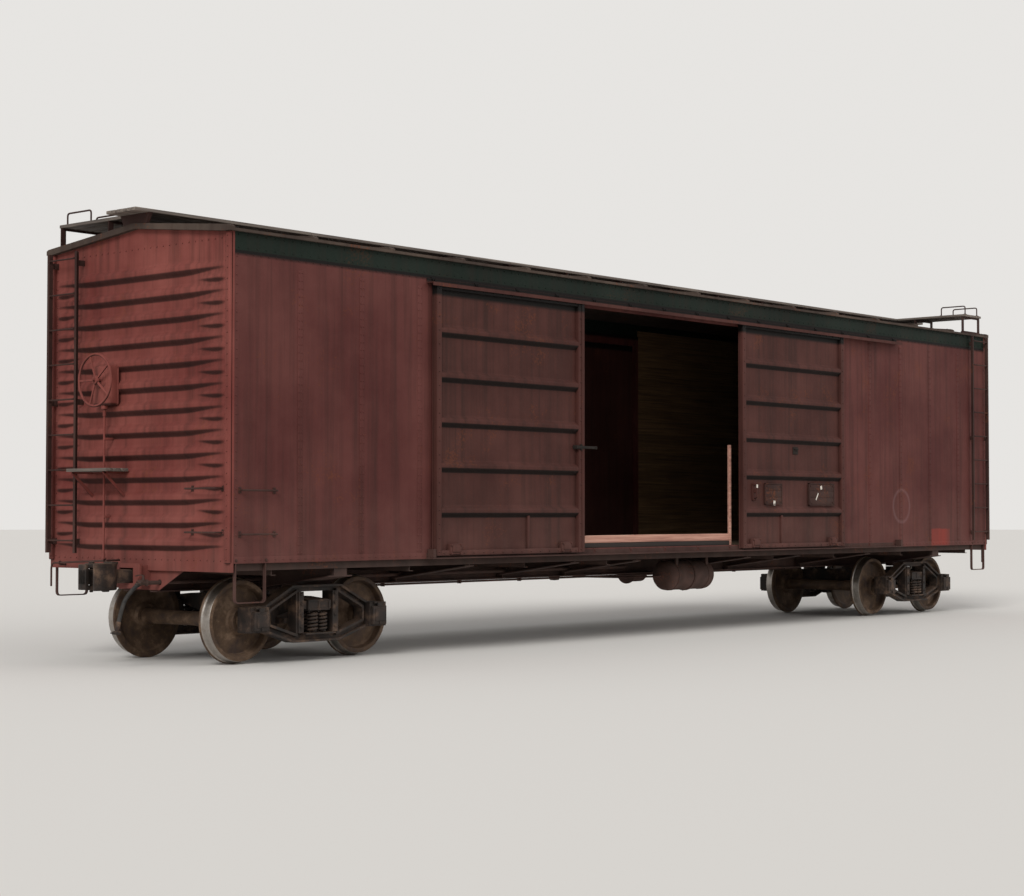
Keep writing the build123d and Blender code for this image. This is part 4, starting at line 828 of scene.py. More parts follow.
def row(shape, start, stop, pitch):
    """A row of one shape from start to stop, about one pitch apart."""
    start, stop = Vector(start), Vector(stop)
    count = max(1, round((stop - start).length / pitch))
    return merged([(shape, [at(*start.lerp(stop, number / count)) for number in range(count + 1)])])


RIVET = head(0.011, 0.007)
SMALL_BOLT = bolt(0.011, 0.010)
far_rivet = merged([(RIVET, [OUT_FAR])])
far_bolt = merged([(SMALL_BOLT, [OUT_FAR])])
right_rivet = merged([(RIVET, [OUT_RIGHT])])
print("faces of a rivet", len(RIVET.polygons), "and of a bolt", len(SMALL_BOLT.polygons))

# %% [markdown]
# ## Side sheets
# Thin sheets riveted to posts are never quite flat: between the posts they
# quilt inwards by a few millimetres, and forklifts and loads add dents. The
# paint shows it as soft changes of light. A grid is pushed in by a wave
# between the seams plus slow noise, in front of the plate of the wall.

# %% Side sheets
WALL_START = 2.498
WALL_END = GABLE_INNER
WALL_TOP = 4.110
BAYS = 6
SEAM_PITCH = (WALL_END - WALL_START) / BAYS
SEAM_HALF = 0.035
STRIP_INNER = 1.444
STRIP_OUTER = 1.4535
RIVET_SEAT = 1.453


def quilted(seed):
    """One side panel of the far right quarter, with dents of its own."""
    part = bmesh.new()
    bmesh.ops.create_grid(part, x_segments=120, y_segments=64, size=0.5)
    for vertex in part.verts:
        x = WALL_START + (vertex.co.x + 0.5) * (WALL_END - WALL_START)
        z = SHEET_BOTTOM + (vertex.co.y + 0.5) * (WALL_TOP - SHEET_BOTTOM)
        bay = ((x - WALL_START) / SEAM_PITCH) % 1.0
        inside = math.sin(math.pi * bay)
        inside *= smooth_step((z - SHEET_BOTTOM) / 0.25) * smooth_step((WALL_TOP - z) / 0.2)
        wave = 0.5 + 0.5 * noise.noise((x * 1.3, z * 1.7, seed))
        dent = max(0.0, noise.noise((x * 3.1, z * 3.7, seed + 7)) - 0.32)
        vertex.co = (x, SIDE_OUTER - inside * (0.0045 * wave + 0.012 * dent), z)
    return shaped(part)


wall_plate = block((WALL_START, 1.410, SHEET_BOTTOM), (WALL_END, 1.4385, WALL_TOP))
foot_strip = block((WALL_START, STRIP_INNER, SHEET_BOTTOM), (WALL_END, STRIP_OUTER, SHEET_BOTTOM + 0.070),
                   bevel=0.002)
seam_strip = block((-SEAM_HALF, STRIP_INNER, SHEET_BOTTOM + 0.075), (SEAM_HALF, STRIP_OUTER, 3.985),
                   bevel=0.002)
seams = [at(WALL_START + SEAM_PITCH * number, 0, 0) for number in range(1, BAYS)]
first_x, last_x = WALL_START + 0.05, WALL_END - 0.04
foot_z, top_z = SHEET_BOTTOM + 0.035, 4.075
seam_row = row(far_rivet, (0.020, RIVET_SEAT, 1.140), (0.020, RIVET_SEAT, 3.960), 0.080)
level_row = row(far_rivet, (first_x, RIVET_SEAT, foot_z), (last_x, RIVET_SEAT, foot_z), 0.10)
top_row = row(far_rivet, (first_x, SIDE_OUTER, top_z), (last_x, SIDE_OUTER, top_z), 0.10)
corner_row = row(far_rivet, (7.690, SIDE_OUTER, 1.140), (7.690, SIDE_OUTER, 4.050), 0.090)
rivets = merged([
    (seam_row, seams + pairs(seams, [at(-0.040, 0, 0)])),
    level_row,
    top_row,
    corner_row,
])
quarters = {
    "far_right": HERE[0],
    "far_left": MIRROR_X,
    "near_right": MIRROR_Y,
    "near_left": MIRROR_X @ MIRROR_Y,
}
for seed, (quarter, place) in enumerate(quarters.items()):
    side_parts = [quilted(seed * 11.0), wall_plate, foot_strip, (seam_strip, seams), rivets]
    piece(f"{quarter}_side_sheets", [(merged(side_parts), [place])], "side_paint",
          stands_for=[f"{quarter}_wall"],
          wears="patched_side_paint" if quarter == "near_right" else None)

# %% [markdown]
# ## Doors
# Each leaf is a sheet pressed into six panels between five deep ribs, in a frame of stiles and rails. A rib
# swells out and falls back in a smooth curve, and its lower slope faces the ground, where painted shade draws
# a dark line. The leaf rolls on two small wheels behind the brackets at its foot.

# %% Door leaves
DOOR_WIDTH = 2.500
DOOR_BOTTOM = 1.075
DOOR_TOP = 4.010
DOOR_HEIGHT = DOOR_TOP - DOOR_BOTTOM
DOOR_BACK = 1.484
DOOR_PANEL = 1.492
RAIL_FACE = 1.532
DOOR_FACE = 1.540
DOOR_RIB = 0.046
STILE = 0.075
PANELS = 6
PANEL_PITCH = DOOR_HEIGHT / PANELS
ROLLER_X = (0.300, DOOR_WIDTH - 0.300)


def door_skin(seed):
    """The pressed sheet of one leaf, between its stiles."""
    part = bmesh.new()
    bmesh.ops.create_grid(part, x_segments=44, y_segments=300, size=0.5)
    for vertex in part.verts:
        share = vertex.co.x + 0.5
        x = STILE + share * (DOOR_WIDTH - 2 * STILE)
        above = 0.055 + (vertex.co.y + 0.5) * (DOOR_HEIGHT - 0.10)
        z = DOOR_BOTTOM + above
        away = above - PANEL_PITCH * min(PANELS - 1, max(1, round(above / PANEL_PITCH)))
        rib = smooth_step((away + 0.080) / 0.060) * (1 - smooth_step((away - 0.010) / 0.052))
        sag = math.sin(math.pi * ((above / PANEL_PITCH) % 1.0)) * math.sin(math.pi * share)
        sag *= 0.5 + 0.6 * noise.noise((x * 1.6, z * 2.1, seed))
        dent = max(0.0, noise.noise((x * 2.7, z * 3.3, seed + 3)) - 0.35)
        vertex.co = (x, DOOR_PANEL + DOOR_RIB * rib - (0.005 * sag + 0.014 * dent) * (1 - rib), z)
    return shaped(part)


def rail(low, high):
    """A level bar of the leaf's frame, lapped onto both stiles."""
    lap = STILE - 0.004
    return block((lap, DOOR_BACK, low), (DOOR_WIDTH - lap, RAIL_FACE, high), bevel=0.005)


back_plate = block((0, 1.466, DOOR_BOTTOM), (DOOR_WIDTH, DOOR_BACK, DOOR_TOP))
stile_bar = block((0, DOOR_BACK, DOOR_BOTTOM), (STILE, DOOR_FACE, DOOR_TOP), bevel=0.006, segments=3)
stiffener = block((0.930, 1.486, DOOR_BOTTOM + 0.055), (0.970, 1.518, DOOR_BOTTOM + PANEL_PITCH - 0.055),
                  bevel=0.006)
bracket = merged([
    block((-0.090, 1.488, 1.085), (0.090, 1.546, 1.205), bevel=0.008, segments=3),
    block((-0.060, 1.540, 1.110), (0.060, 1.556, 1.190), bevel=0.006),
    (far_bolt, [at(x, 1.548, z) for x in (-0.075, 0.075) for z in (1.100, 1.190)]),
])
roller = turned(mirrored([(0.0315, 0.006), (0.0315, 0.011), (0.0, 0.011)], 0.029), steps=24, closed=False)
stile_rows = row(far_rivet, (STILE / 2, DOOR_FACE, 1.12), (STILE / 2, DOOR_FACE, 3.97), 0.15)
rail_z = DOOR_BOTTOM + 0.030
rail_rows = row(far_rivet, (0.12, RAIL_FACE, rail_z), (DOOR_WIDTH - 0.12, RAIL_FACE, rail_z), 0.16)
both_stiles = [*HERE, at(DOOR_WIDTH - STILE, 0, 0)]
plain_leaf = [
    back_plate,
    (stile_bar, both_stiles),
    rail(DOOR_BOTTOM, DOOR_BOTTOM + 0.060),
    rail(DOOR_TOP - 0.050, DOOR_TOP),
    stiffener,
    (bracket, [at(x, 0, 0) for x in ROLLER_X]),
    (roller, [at(x, 1.501, DOOR_BOTTOM + 0.025) @ OUT_FAR for x in ROLLER_X]),
    (stile_rows, both_stiles),
    (rail_rows, [*HERE, at(0, 0, DOOR_HEIGHT - 0.055)]),
]
print("door panels", round(PANEL_PITCH, 3), "m apart")

# %% [markdown]
# ## Door fittings
# Of each pair of leaves, one has a hasp and a strip that laps over the gap.
# The other has a latch, a pull handle and two wooden boards for cards, and
# scraps of old cards still hang on them. A fitting is made of flat bar and
# round bar, bolted on, so here it is blocks and drawn bars with bolt heads.

# %% Door fittings
BOARD_BACK = 1.490
EDGE = 0.012
strip_low, strip_high = DOOR_BOTTOM + 0.010, DOOR_TOP - 0.010
lap_strip = [
    block((-0.024, 1.5425, strip_low), (0.022, 1.5465, strip_high), bevel=0.001),
    block((0.001, 1.5390, strip_low), (0.020, 1.5430, strip_high)),
]
hasp_ring = turned([(0.013, -0.005), (0.019, -0.005), (0.021, 0.0), (0.019, 0.005), (0.013, 0.005)], steps=20)
hasp = [
    block((-0.235, 1.549, 2.292), (0.130, 1.559, 2.324), bevel=0.003),
    (hasp_ring, [at(-0.229, 1.554, 2.308) @ OUT_FAR]),
    block((0.018, 1.536, 2.280), (0.062, 1.552, 2.336), bevel=0.003),
    block((0.090, 1.490, 2.286), (0.130, 1.552, 2.330), bevel=0.003),
    (far_bolt, [at(0.040, 1.549, 2.330), at(0.040, 1.549, 2.286)]),
]
latch_path = staple((0.295, 1.500, 1.905), (0.295, 1.500, 1.735), (0, 0.047, 0))
latch = [
    block((0.262, 1.488, 1.700), (0.328, 1.512, 1.930), bevel=0.006, segments=3),
    drawn(circle(0.011, 12), rounded(latch_path, 0.03)),
    block((0.282, 1.505, 1.800), (0.312, 1.538, 1.850), bevel=0.005),
    (far_bolt, [at(x, 1.511, z) for x in (0.273, 0.317) for z in (1.715, 1.915)]),
]
handle_path = staple((1.270, 1.496, 2.400), (1.350, 1.496, 2.400), (0, 0.025, 0))
handle = [
    block((1.250, 1.488, 2.330), (1.370, 1.500, 2.430), bevel=0.004),
    drawn(circle(0.009, 10), rounded(handle_path, 0.02)),
]
# x, y, z, width, height and tilt of each scrap of card
scraps = [
    (0.759, 1.5175, 1.672, 0.046, 0.060, 8),
    (1.923, 1.5175, 1.885, 0.044, 0.050, -12),
    (1.818, 1.5175, 1.762, 0.020, 0.110, 34),
    (0.290, 1.5598, 1.890, 0.034, 0.044, 5),
]


def notice_board(low_x, high_x, low_z, high_z, planks):
    """A wooden board of level planks in a thin steel edge, for cards and tacks."""
    step = (high_z - low_z - 2 * EDGE) / planks
    bottoms = [low_z + EDGE + step * number for number in range(planks)]
    bolts = [at(x, 1.515, z) for x in (low_x + 0.04, high_x - 0.04) for z in (low_z + 0.04, high_z - 0.04)]
    inner_x, outer_x = low_x + 0.010, high_x - 0.010
    boxes = [((inner_x, BOARD_BACK, z + 0.001), (outer_x, 1.516, z + step - 0.001)) for z in bottoms]
    boxes += [((x, BOARD_BACK, low_z), (x + EDGE, 1.522, high_z)) for x in (low_x, high_x - EDGE)]
    boxes += [((low_x, BOARD_BACK, z), (high_x, 1.522, z + EDGE)) for z in (low_z, high_z - EDGE)]
    return [*[block(low, high, bevel=0.002) for low, high in boxes], (far_bolt, bolts)]


notice_boards = notice_board(0.546, 0.946, 1.650, 1.930, 3) + notice_board(1.620, 2.260, 1.640, 1.945, 3)
cards = [
    (block((-w / 2, 0, -h / 2), (w / 2, 0.0016, h / 2), bevel=0.0005), [at(x, y, z) @ turn(tilt, "Y")])
    for x, y, z, w, h, tilt in scraps
]
leaves = {
    "near_left_door": (at(-2.425, 0, 0) @ MIRROR_X @ MIRROR_Y, False),
    "near_right_door": (at(0.900, 0, 0) @ MIRROR_Y, True),
    "far_right_door": (at(0.004, 0, 0), False),
    "far_left_door": (at(-0.004, 0, 0) @ MIRROR_X, True),
}
for seed, (leaf, (place, has_boards)) in enumerate(leaves.items()):
    shapes = [door_skin(seed * 5.0), *plain_leaf, *(latch if has_boards else lap_strip)]
    piece(f"{leaf}_pressed_leaf", [(merged(shapes), [place])], "door_paint", leaf, [leaf])
    if has_boards:
        piece(f"{leaf}_notice_boards", [(merged(notice_boards), [place])], "hardware", leaf)
        piece(f"{leaf}_pull_handle", [(merged(handle), [place])], "underframe", leaf)
        piece(f"{leaf}_card_scraps", [(merged(cards), [place])], "door_paint", leaf, wears="card")
    else:
        piece(f"{leaf}_hasp", [(merged(hasp), [place])], "underframe", leaf)

# %% [markdown]
# ## Roof walk
# The walk is three rows of boards on steel saddles. Each board spans a few
# saddles, so its ends meet another board's over a saddle. Weather lifts and
# shifts every board a little, which keeps the rows from looking ruled.

# %% Walk boards
BOARD_LOW = 4.590
BOARD_HIGH = 4.625
WALK_END = 7.980
ROW_PITCH = 0.165
WALK_BOARD_HALF = 0.074
BRANCH_BOARD_HALF = 0.084
BRANCH_X = (7.230, 7.420, 7.610)
ROOF_END = 7.810
CAP_WIDTH = 0.064
ROOF_PANELS = 14
cap_pitch = (2 * ROOF_END - CAP_WIDTH) / ROOF_PANELS
cap_places = [-ROOF_END + CAP_WIDTH / 2 + cap_pitch * number for number in range(ROOF_PANELS + 1)]
joints_of_row = {-1: (2, 5, 8, 11), 0: (3, 7, 10, 12), 1: (1, 4, 8, 12)}
walk = []
for row_number, crossings in joints_of_row.items():
    breaks = [-WALK_END, *[cap_places[number] for number in crossings], WALK_END]
    for start, stop in zip(breaks, breaks[1:]):
        shift = 0.003 * noise.noise((start, row_number * 4.0, 1.0))
        middle = row_number * ROW_PITCH + shift
        walk.append(block((start + 0.002, middle - WALK_BOARD_HALF, BOARD_LOW),
                          (stop - 0.002, middle + WALK_BOARD_HALF, BOARD_HIGH - 0.001 - abs(shift)),
                          bevel=0.004))
branch = [
    (block((x - BRANCH_BOARD_HALF, -1.419, BOARD_LOW), (x + BRANCH_BOARD_HALF, -0.251, BOARD_HIGH - 0.001),
           bevel=0.004), BOTH_ENDS)
    for x in BRANCH_X
]
bolt_z = BOARD_HIGH - 0.003
walk_bolts = [at(x, y, bolt_z) for x in cap_places for y in (-0.205, -0.125, -0.040, 0.040, 0.125, 0.205)]
branch_bolts = [at(x + dx, y, bolt_z) for x in BRANCH_X for dx in (-0.05, 0.05) for y in (-1.380, -0.560)]
low_head = head(0.012, 0.004)
piece("roof_walk_boards", walk, "board_wood", stands_for=["running_boards"])
piece("roof_branch_boards", branch, "board_wood", wears="cross_board_wood")
piece("roof_walk_bolts", [(low_head, walk_bolts), (low_head, pairs(BOTH_ENDS, branch_bolts))], "hardware")

# %% [markdown]
# ## Ladders
# A ladder has two stiles of angle steel and nine round rungs, bolted through
# the stiles, and it stands clear of the wall on short feet. One ladder is
# made flat against a wall and copied to the sides and ends.

# %% Ladders
LADDER_HALF = 0.225
LADDER_X = 7.480
END_LADDER_Y = -1.120
RUNG_PLACES = [1.250 + 0.370 * number for number in range(9)]
FOOT_PLACES = (1.240, 2.701, 4.162)
ANGLE_SECTION = [
    (-0.004, -0.024), (0.004, -0.024), (0.004, 0.018), (0.030, 0.018), (0.030, 0.024), (-0.004, 0.024),
]
rung = drawn(circle(0.009, 12), [(-LADDER_HALF, -0.058, 0), (LADDER_HALF, -0.058, 0)])
ladder_parts = []
for side in (-1, 1):
    x = side * LADDER_HALF
    section = [(-side * u, v) for u, v in ANGLE_SECTION]
    ladder_parts.append(drawn(section, [(x, -0.044, 1.120), (x, -0.044, 4.282)], up=(0, -1, 0)))
    for z in FOOT_PLACES:
        ladder_parts.append(block((x - 0.005, -0.045, z - 0.030), (x + 0.005, 0.004, z + 0.030), bevel=0.002))
    bolts = [at(x - side * 0.016, -0.067, z) @ OUT_NEAR for z in RUNG_PLACES]
    ladder_parts.append((bolt(0.008, 0.007), bolts))
ladder_parts.append((rung, [at(0, 0, z) for z in RUNG_PLACES]))
ladder = merged(ladder_parts)
end_place = at(7.810, END_LADDER_Y, 0) @ turn(90, "Z")
end_feet = [
    (block((END_FACE, y - 0.005, z - 0.030), (7.815, y + 0.005, z + 0.030), bevel=0.002), BOTH_ENDS)
    for y in (END_LADDER_Y - LADDER_HALF, END_LADDER_Y + LADDER_HALF)
    for z in FOOT_PLACES
]
piece("side_ladder_irons", [(ladder, pairs(BOTH_ENDS, [at(LADDER_X, -SIDE_OUTER, 0)]))], "hardware",
      stands_for=["side_ladders", "ladder_rungs"])
piece("end_ladder_irons", [(ladder, pairs(BOTH_ENDS, [end_place])), *end_feet], "hardware",
      stands_for=["end_ladders", "ladder_rungs"])

# %% [markdown]
# ## Grab irons
# A grab iron is forged from round bar: its feet are flattened and bolted on,
# and the bends are soft. A round section drawn along a path with rounded
# corners gives the bar, and a small bolted pad stands for each foot.

# %% Grab irons
GRAB_Z = (1.330, 1.760)
SIDE_GRAB_X = (-7.640, -7.190)
END_GRAB_Y = (0.880, 1.330)
END_GRAB_LIFT = 0.019
ROOF_GRAB_X = (7.230, 7.610)
ROOF_GRAB_Y = (-1.390, -0.980)
side_feet = [[(x, -SIDE_OUTER, z) for x in SIDE_GRAB_X] for z in GRAB_Z]
end_feet = [[(END_FACE, y, z + END_GRAB_LIFT) for y in END_GRAB_Y] for z in GRAB_Z]
roof_feet = [[(x, y, BOARD_HIGH) for y in ROOF_GRAB_Y] for x in ROOF_GRAB_X]
grab_kinds = [
    # feet, how far the bar stands out, how the pads are turned
    (side_feet, (0, -0.062, 0), HERE[0]),
    (end_feet, (0.115, 0, 0), turn(90, "Z")),
    (roof_feet, (0, 0, 0.130), OUT_FAR @ OUT_RIGHT),
]
pad = merged([
    block((-0.018, -0.006, -0.030), (0.018, 0.002, 0.030), bevel=0.002),
    (bolt(0.008, 0.006), [at(0, -0.006, dz) @ OUT_NEAR for dz in (-0.019, 0.019)]),
])
grabs = []
for feet_of_kind, out, facing in grab_kinds:
    for start, stop in feet_of_kind:
        bar = drawn(circle(0.0095, 12), rounded(staple(start, stop, out), 0.035, 6))
        grabs.append((bar, BOTH_ENDS))
        grabs.append((pad, pairs(BOTH_ENDS, [at(*start) @ facing, at(*stop) @ facing])))
piece("bent_grab_irons", grabs, "hardware", stands_for=["grab_irons"])

# %% [markdown]
# ## Sill steps
# A sill step is a strap of flat bar, bent twice and bolted to the sill at a
# corner, below a ladder or a pair of grab irons. A boot needs a flat tread,
# so the section is wide and thin.

# %% Sill steps
STEP_X = (7.296, 7.684)
step_path = rounded(staple((STEP_X[0], 1.430, 1.045), (STEP_X[1], 1.430, 1.045), (0, 0, -0.384)), 0.045, 6)
step = drawn(flat_bar(0.036, 0.012), step_path, up=(1, 0, 0))
step_bolts = [at(x, 1.4535, 1.075) @ OUT_FAR for x in STEP_X]
piece("bent_sill_steps", [(step, FOUR_CORNERS), (SMALL_BOLT, pairs(FOUR_CORNERS, step_bolts))],
      "hardware", stands_for=["sill_steps"])

# %% [markdown]
# ## Uncoupling levers
# A rod with a handle at the corner of the car turns in two eyes on the end,
# and its inner arm lifts the lock of the coupler. It is bent from one bar.

# %% Uncoupling levers
lever_path = [(7.830, -1.330, 0.765), (7.830, -1.330, 1.010), (7.830, -0.150, 1.060), (8.090, -0.060, 1.060)]
eye_ring = turned([(0.012, -0.008), (0.021, -0.008), (0.021, 0.008), (0.012, 0.008)], steps=20)
lever_parts = [(drawn(circle(0.0105, 12), rounded(lever_path, 0.06, 6)), BOTH_ENDS)]
for y, z in ((-1.180, 1.016), (-0.420, 1.049)):
    lug = block((END_FACE, y - 0.008, z - 0.030), (7.836, y + 0.008, z - 0.010), bevel=0.002)
    lever_parts += [(lug, BOTH_ENDS), (eye_ring, pairs(BOTH_ENDS, [at(7.830, y, z) @ OUT_NEAR]))]
lever_parts += [
    (drawn(circle(0.008, 10), [(8.083, -0.062, 1.052), (8.090, -0.062, 1.037)]), BOTH_ENDS),
    (block((8.070, -0.072, 1.034), (8.104, -0.048, 1.050), bevel=0.004), BOTH_ENDS),
]
piece("bent_uncoupling_levers", lever_parts, "hardware", stands_for=["uncoupling_levers"])

# %% [markdown]
# ## Hand brake
# The brake wheel is a cast ring on five spokes in front of a geared housing.
# A rod runs down from it to the bell crank under the end sill. The brake is
# made round the middle of its wheel's axle and then moved to the left end.

# %% Hand brake
BRAKE = (-7.800, 0.400, 2.900)
ROD_X = -0.060
rim = turned([(0.266 + 0.0138 * u, 0.0118 * v) for u, v in circle(1.0, 12)], steps=64)
spoke = drawn([(-0.012, -0.005), (0.012, -0.005), (0.009, 0.006), (-0.009, 0.006)],
              rounded([(0.030, 0, -0.010), (0.110, 0, -0.004), (0.262, 0, 0.0)], 0.05))
boss = turned([(0.0, 0.022), (0.014, 0.022), (0.016, 0.012), (0.040, 0.008), (0.047, -0.004),
               (0.047, -0.018), (0.0, -0.018)], steps=32, closed=False)
gear_cover = turned([(0.0, 0.118), (0.050, 0.118), (0.085, 0.104), (0.098, 0.085), (0.100, 0.040),
                     (0.0, 0.040)], steps=36, closed=False)
rod_collar = turned([(0.0, 0.030), (0.018, 0.026), (0.018, -0.026), (0.0, -0.030)], steps=16, closed=False)
wheel_place = at(-0.182, 0, 0) @ OUT_LEFT
brake_parts = [
    (rim, [wheel_place]),
    (spoke, [wheel_place @ turn(72 * number + 18, "Z") for number in range(5)]),
    (boss, [wheel_place]),
    (bolt(0.013, 0.012), [wheel_place @ at(0, 0, 0.020)]),
    drawn(circle(0.020, 16), [(-0.110, 0, 0), (-0.176, 0, 0)]),
    block((-0.105, -0.148, -0.258), (0.010, 0.148, 0.158), bevel=0.030, segments=4),
    (gear_cover, [OUT_LEFT]),
    block((-0.014, -0.150, -0.250), (0.010, 0.150, 0.150), bevel=0.006),
    (SMALL_BOLT, [at(-0.012, y, z) @ OUT_LEFT for y in (-0.136, 0.136) for z in (-0.235, 0.135)]),
    block((-0.085, -0.030, -0.300), (-0.035, 0.030, -0.250), bevel=0.010),
    drawn(circle(0.0115, 12), [(ROD_X, 0, -1.838), (ROD_X, 0, -0.280)]),
    (rod_collar, [at(ROD_X, 0, z) for z in (-1.805, -0.340)]),
]
for z in (-1.400, -0.600):
    brake_parts.append(block((-0.072, -0.020, z - 0.014), (0.044, -0.011, z + 0.014), bevel=0.002))
piece("geared_hand_brake", [(merged(brake_parts), [at(*BRAKE)])], "end_paint", stands_for=["hand_brake"])

# %% [markdown]
# ## Brake step
# Whoever turns the wheel stands on a step of short boards below it. The
# boards leave a slot for the rod, and two bent straps hold them up.

# %% Brake step
STEP_LOW, STEP_HIGH = -0.938, -0.906
STEP_HALF = 0.330
boards_of_step = [
    # low and high x, low and high y
    (-0.290, -0.201, -STEP_HALF, STEP_HALF),
    (-0.192, -0.103, -STEP_HALF, STEP_HALF),
    (-0.094, -0.006, -STEP_HALF, -0.027),
    (-0.094, -0.006, 0.027, STEP_HALF),
]
step_boards = [
    block((low_x, low_y, STEP_LOW), (high_x, high_y, STEP_HIGH), bevel=0.004)
    for low_x, high_x, low_y, high_y in boards_of_step
]
struts = []
for y in (-0.260, 0.260):
    strut_path = [(-0.004, y, -1.185), (-0.250, y, -0.960), (-0.268, y, -0.943), (-0.004, y, -0.943)]
    struts.append(drawn(flat_bar(0.032, 0.008), rounded(strut_path, 0.02), up=(0, 1, 0)))
piece("brake_step_boards", [(merged(step_boards), [at(*BRAKE)])], "board_wood",
      stands_for=["brake_step"], wears="cross_board_wood")
piece("brake_step_brackets", [(merged(struts), [at(*BRAKE)])], "end_paint")

# %% [markdown]
# ## Air brake
# A pipe runs the length of the car to a hose at each end. Under the floor it
# feeds a control valve, a reservoir with domed heads, and a cylinder whose
# rod pulls on the brake levers. The round castings are turned, and the
# brackets that hang them from the floor are plain plate.

# %% Reservoir, control valve and brake cylinder
RESERVOIR = (0.550, -0.830, 0.730)
STRAP_X = (-0.330, 0.330)
HANGER_TOP = 1.017
FLANGE_BOLTS = 16
CYLINDER_BOLTS = 8
half_tank = [
    (0.203, 0.002), (0.203, 0.018), (0.190, 0.022), (0.190, 0.380), (0.188, 0.415), (0.165, 0.455),
    (0.120, 0.483), (0.060, 0.497), (0.0, 0.500),
]
tank = turned(mirrored(half_tank, 0.199), steps=48, closed=False)
strap_ring = turned([(0.190, -0.025), (0.195, -0.025), (0.195, 0.025), (0.190, 0.025)], steps=48)
flange_bolts = [
    turn(360 / FLANGE_BOLTS * number, "X") @ at(-0.018, 0, 0.197) @ OUT_LEFT for number in range(FLANGE_BOLTS)
]
reservoir = [
    (tank, [OUT_RIGHT]),
    (bolt(0.007, 0.008), flange_bolts),
    (strap_ring, [at(x, 0, 0) @ OUT_RIGHT for x in STRAP_X]),
]
for x in STRAP_X:
    for y in (-0.130, 0.130):
        top = HANGER_TOP - RESERVOIR[2]
        reservoir.append(block((x - 0.024, y - 0.012, 0.130), (x + 0.024, y + 0.012, top), bevel=0.003))
valve_foot = turned([(0.0, -0.060), (0.060, -0.055), (0.072, -0.030), (0.075, 0.0), (0.0, 0.0)],
                    steps=32, closed=False)
valve_cap = turned([(0.0, 0.0), (0.058, 0.0), (0.062, 0.010), (0.062, 0.085), (0.050, 0.105), (0.0, 0.110)],
                   steps=32, closed=False)
valve = [
    block((-0.420, 0.570, 0.705), (-0.140, 0.790, 0.955), bevel=0.030, segments=4),
    block((-0.430, 0.560, 0.815), (-0.130, 0.800, 0.845), bevel=0.006),
    (valve_foot, [at(-0.280, 0.680, 0.705)]),
    block((-0.330, 0.640, 0.950), (-0.230, 0.720, HANGER_TOP), bevel=0.004),
    block((-0.330, 0.442, 1.006), (-0.230, 0.968, HANGER_TOP), bevel=0.002),
    (valve_cap, [at(-0.430, 0.680, 0.800) @ OUT_LEFT]),
    (SMALL_BOLT, [at(x, y, 0.845) for x in (-0.415, -0.145) for y in (0.575, 0.785)]),
]
cylinder_outline = [
    (0.0, 1.660), (0.080, 1.658), (0.118, 1.645), (0.134, 1.615), (0.135, 1.330), (0.159, 1.325),
    (0.160, 1.302), (0.120, 1.298), (0.060, 1.290), (0.045, 1.270), (0.040, 1.262), (0.027, 1.260),
    (0.026, 1.060), (0.0, 1.055),
]
cylinder_place = at(0, 0.700, 0.717) @ OUT_RIGHT
cylinder_bolts = [
    cylinder_place @ turn(360 / CYLINDER_BOLTS * number, "Z") @ at(0.145, 0, 1.325)
    for number in range(CYLINDER_BOLTS)
]
cylinder = [
    (turned(cylinder_outline, steps=44, closed=False), [cylinder_place]),
    (bolt(0.009, 0.010), cylinder_bolts),
    block((1.400, 0.640, 0.830), (1.560, 0.760, 1.012), bevel=0.006),
    block((1.400, 0.442, 1.006), (1.560, 0.968, HANGER_TOP), bevel=0.002),
    block((1.036, 0.668, 0.690), (1.070, 0.732, 0.744), bevel=0.008),
]
pipe_paths = [
    [(-0.140, 0.700, 0.760), (0.500, 0.700, 0.760), (0.900, 0.930, 0.790), (1.600, 0.930, 0.790),
     (1.700, 0.800, 0.760), (1.640, 0.720, 0.740)],
    [(-0.200, 0.575, 0.780), (-0.200, 0.420, 0.700), (-0.060, -0.300, 0.700), (0.030, -0.800, 0.720),
     (0.070, -0.830, 0.730)],
]
piece("air_brake_castings", [(merged(reservoir), [at(*RESERVOIR)]), *valve, *cylinder], "underframe",
      stands_for=["air_brake_gear"])
piece("air_brake_pipes", [drawn(circle(0.013, 10), rounded(path, 0.09)) for path in pipe_paths], "underframe")

# %% [markdown]
# ## Brake pipe and angle cocks
# The long pipe under the car ends in a cock beside each coupler. The cock
# bends down to the hose, so its body is drawn along the way from the
# pipe to the hose's first point, and a flat handle turns on its top.

# %% Brake pipe and angle cocks
PIPE_Y, PIPE_Z = 0.330, 0.840
hose_start, hose_end = Vector(hose_route[0]), Vector(hose_route[-1])
start_way = (Vector(hose_route[1]) - hose_start).normalized()
end_way = (hose_end - Vector(hose_route[-2])).normalized()


def towards(way):
    """A matrix that turns the Z axis along a direction."""
    return way.to_track_quat("Z", "Y").to_matrix().to_4x4()


pipe_path = [(0, 0, PIPE_Z), (0, PIPE_Y, PIPE_Z), (7.900, PIPE_Y, PIPE_Z), (7.925, PIPE_Y, PIPE_Z)]
cock_path = [(7.880, PIPE_Y, PIPE_Z), (7.936, PIPE_Y, PIPE_Z + 0.004), hose_start - start_way * 0.030,
             hose_start]
handle_path = [(7.924, PIPE_Y, PIPE_Z + 0.074), (7.924, PIPE_Y - 0.050, PIPE_Z + 0.080),
               (7.924, PIPE_Y - 0.120, PIPE_Z + 0.066)]
collar = turned([(0.0, -0.012), (0.031, -0.012), (0.033, -0.008), (0.033, 0.008), (0.031, 0.012),
                 (0.0, 0.012)], steps=20, closed=False)
collar_places = [
    at(7.885, PIPE_Y, PIPE_Z) @ OUT_RIGHT,
    at(*(hose_start - start_way * 0.014)) @ towards(start_way),
]
cock_key = turned([(0.0, 0.070), (0.012, 0.070), (0.014, 0.030), (0.020, 0.018), (0.0, 0.010)],
                  steps=16, closed=False)
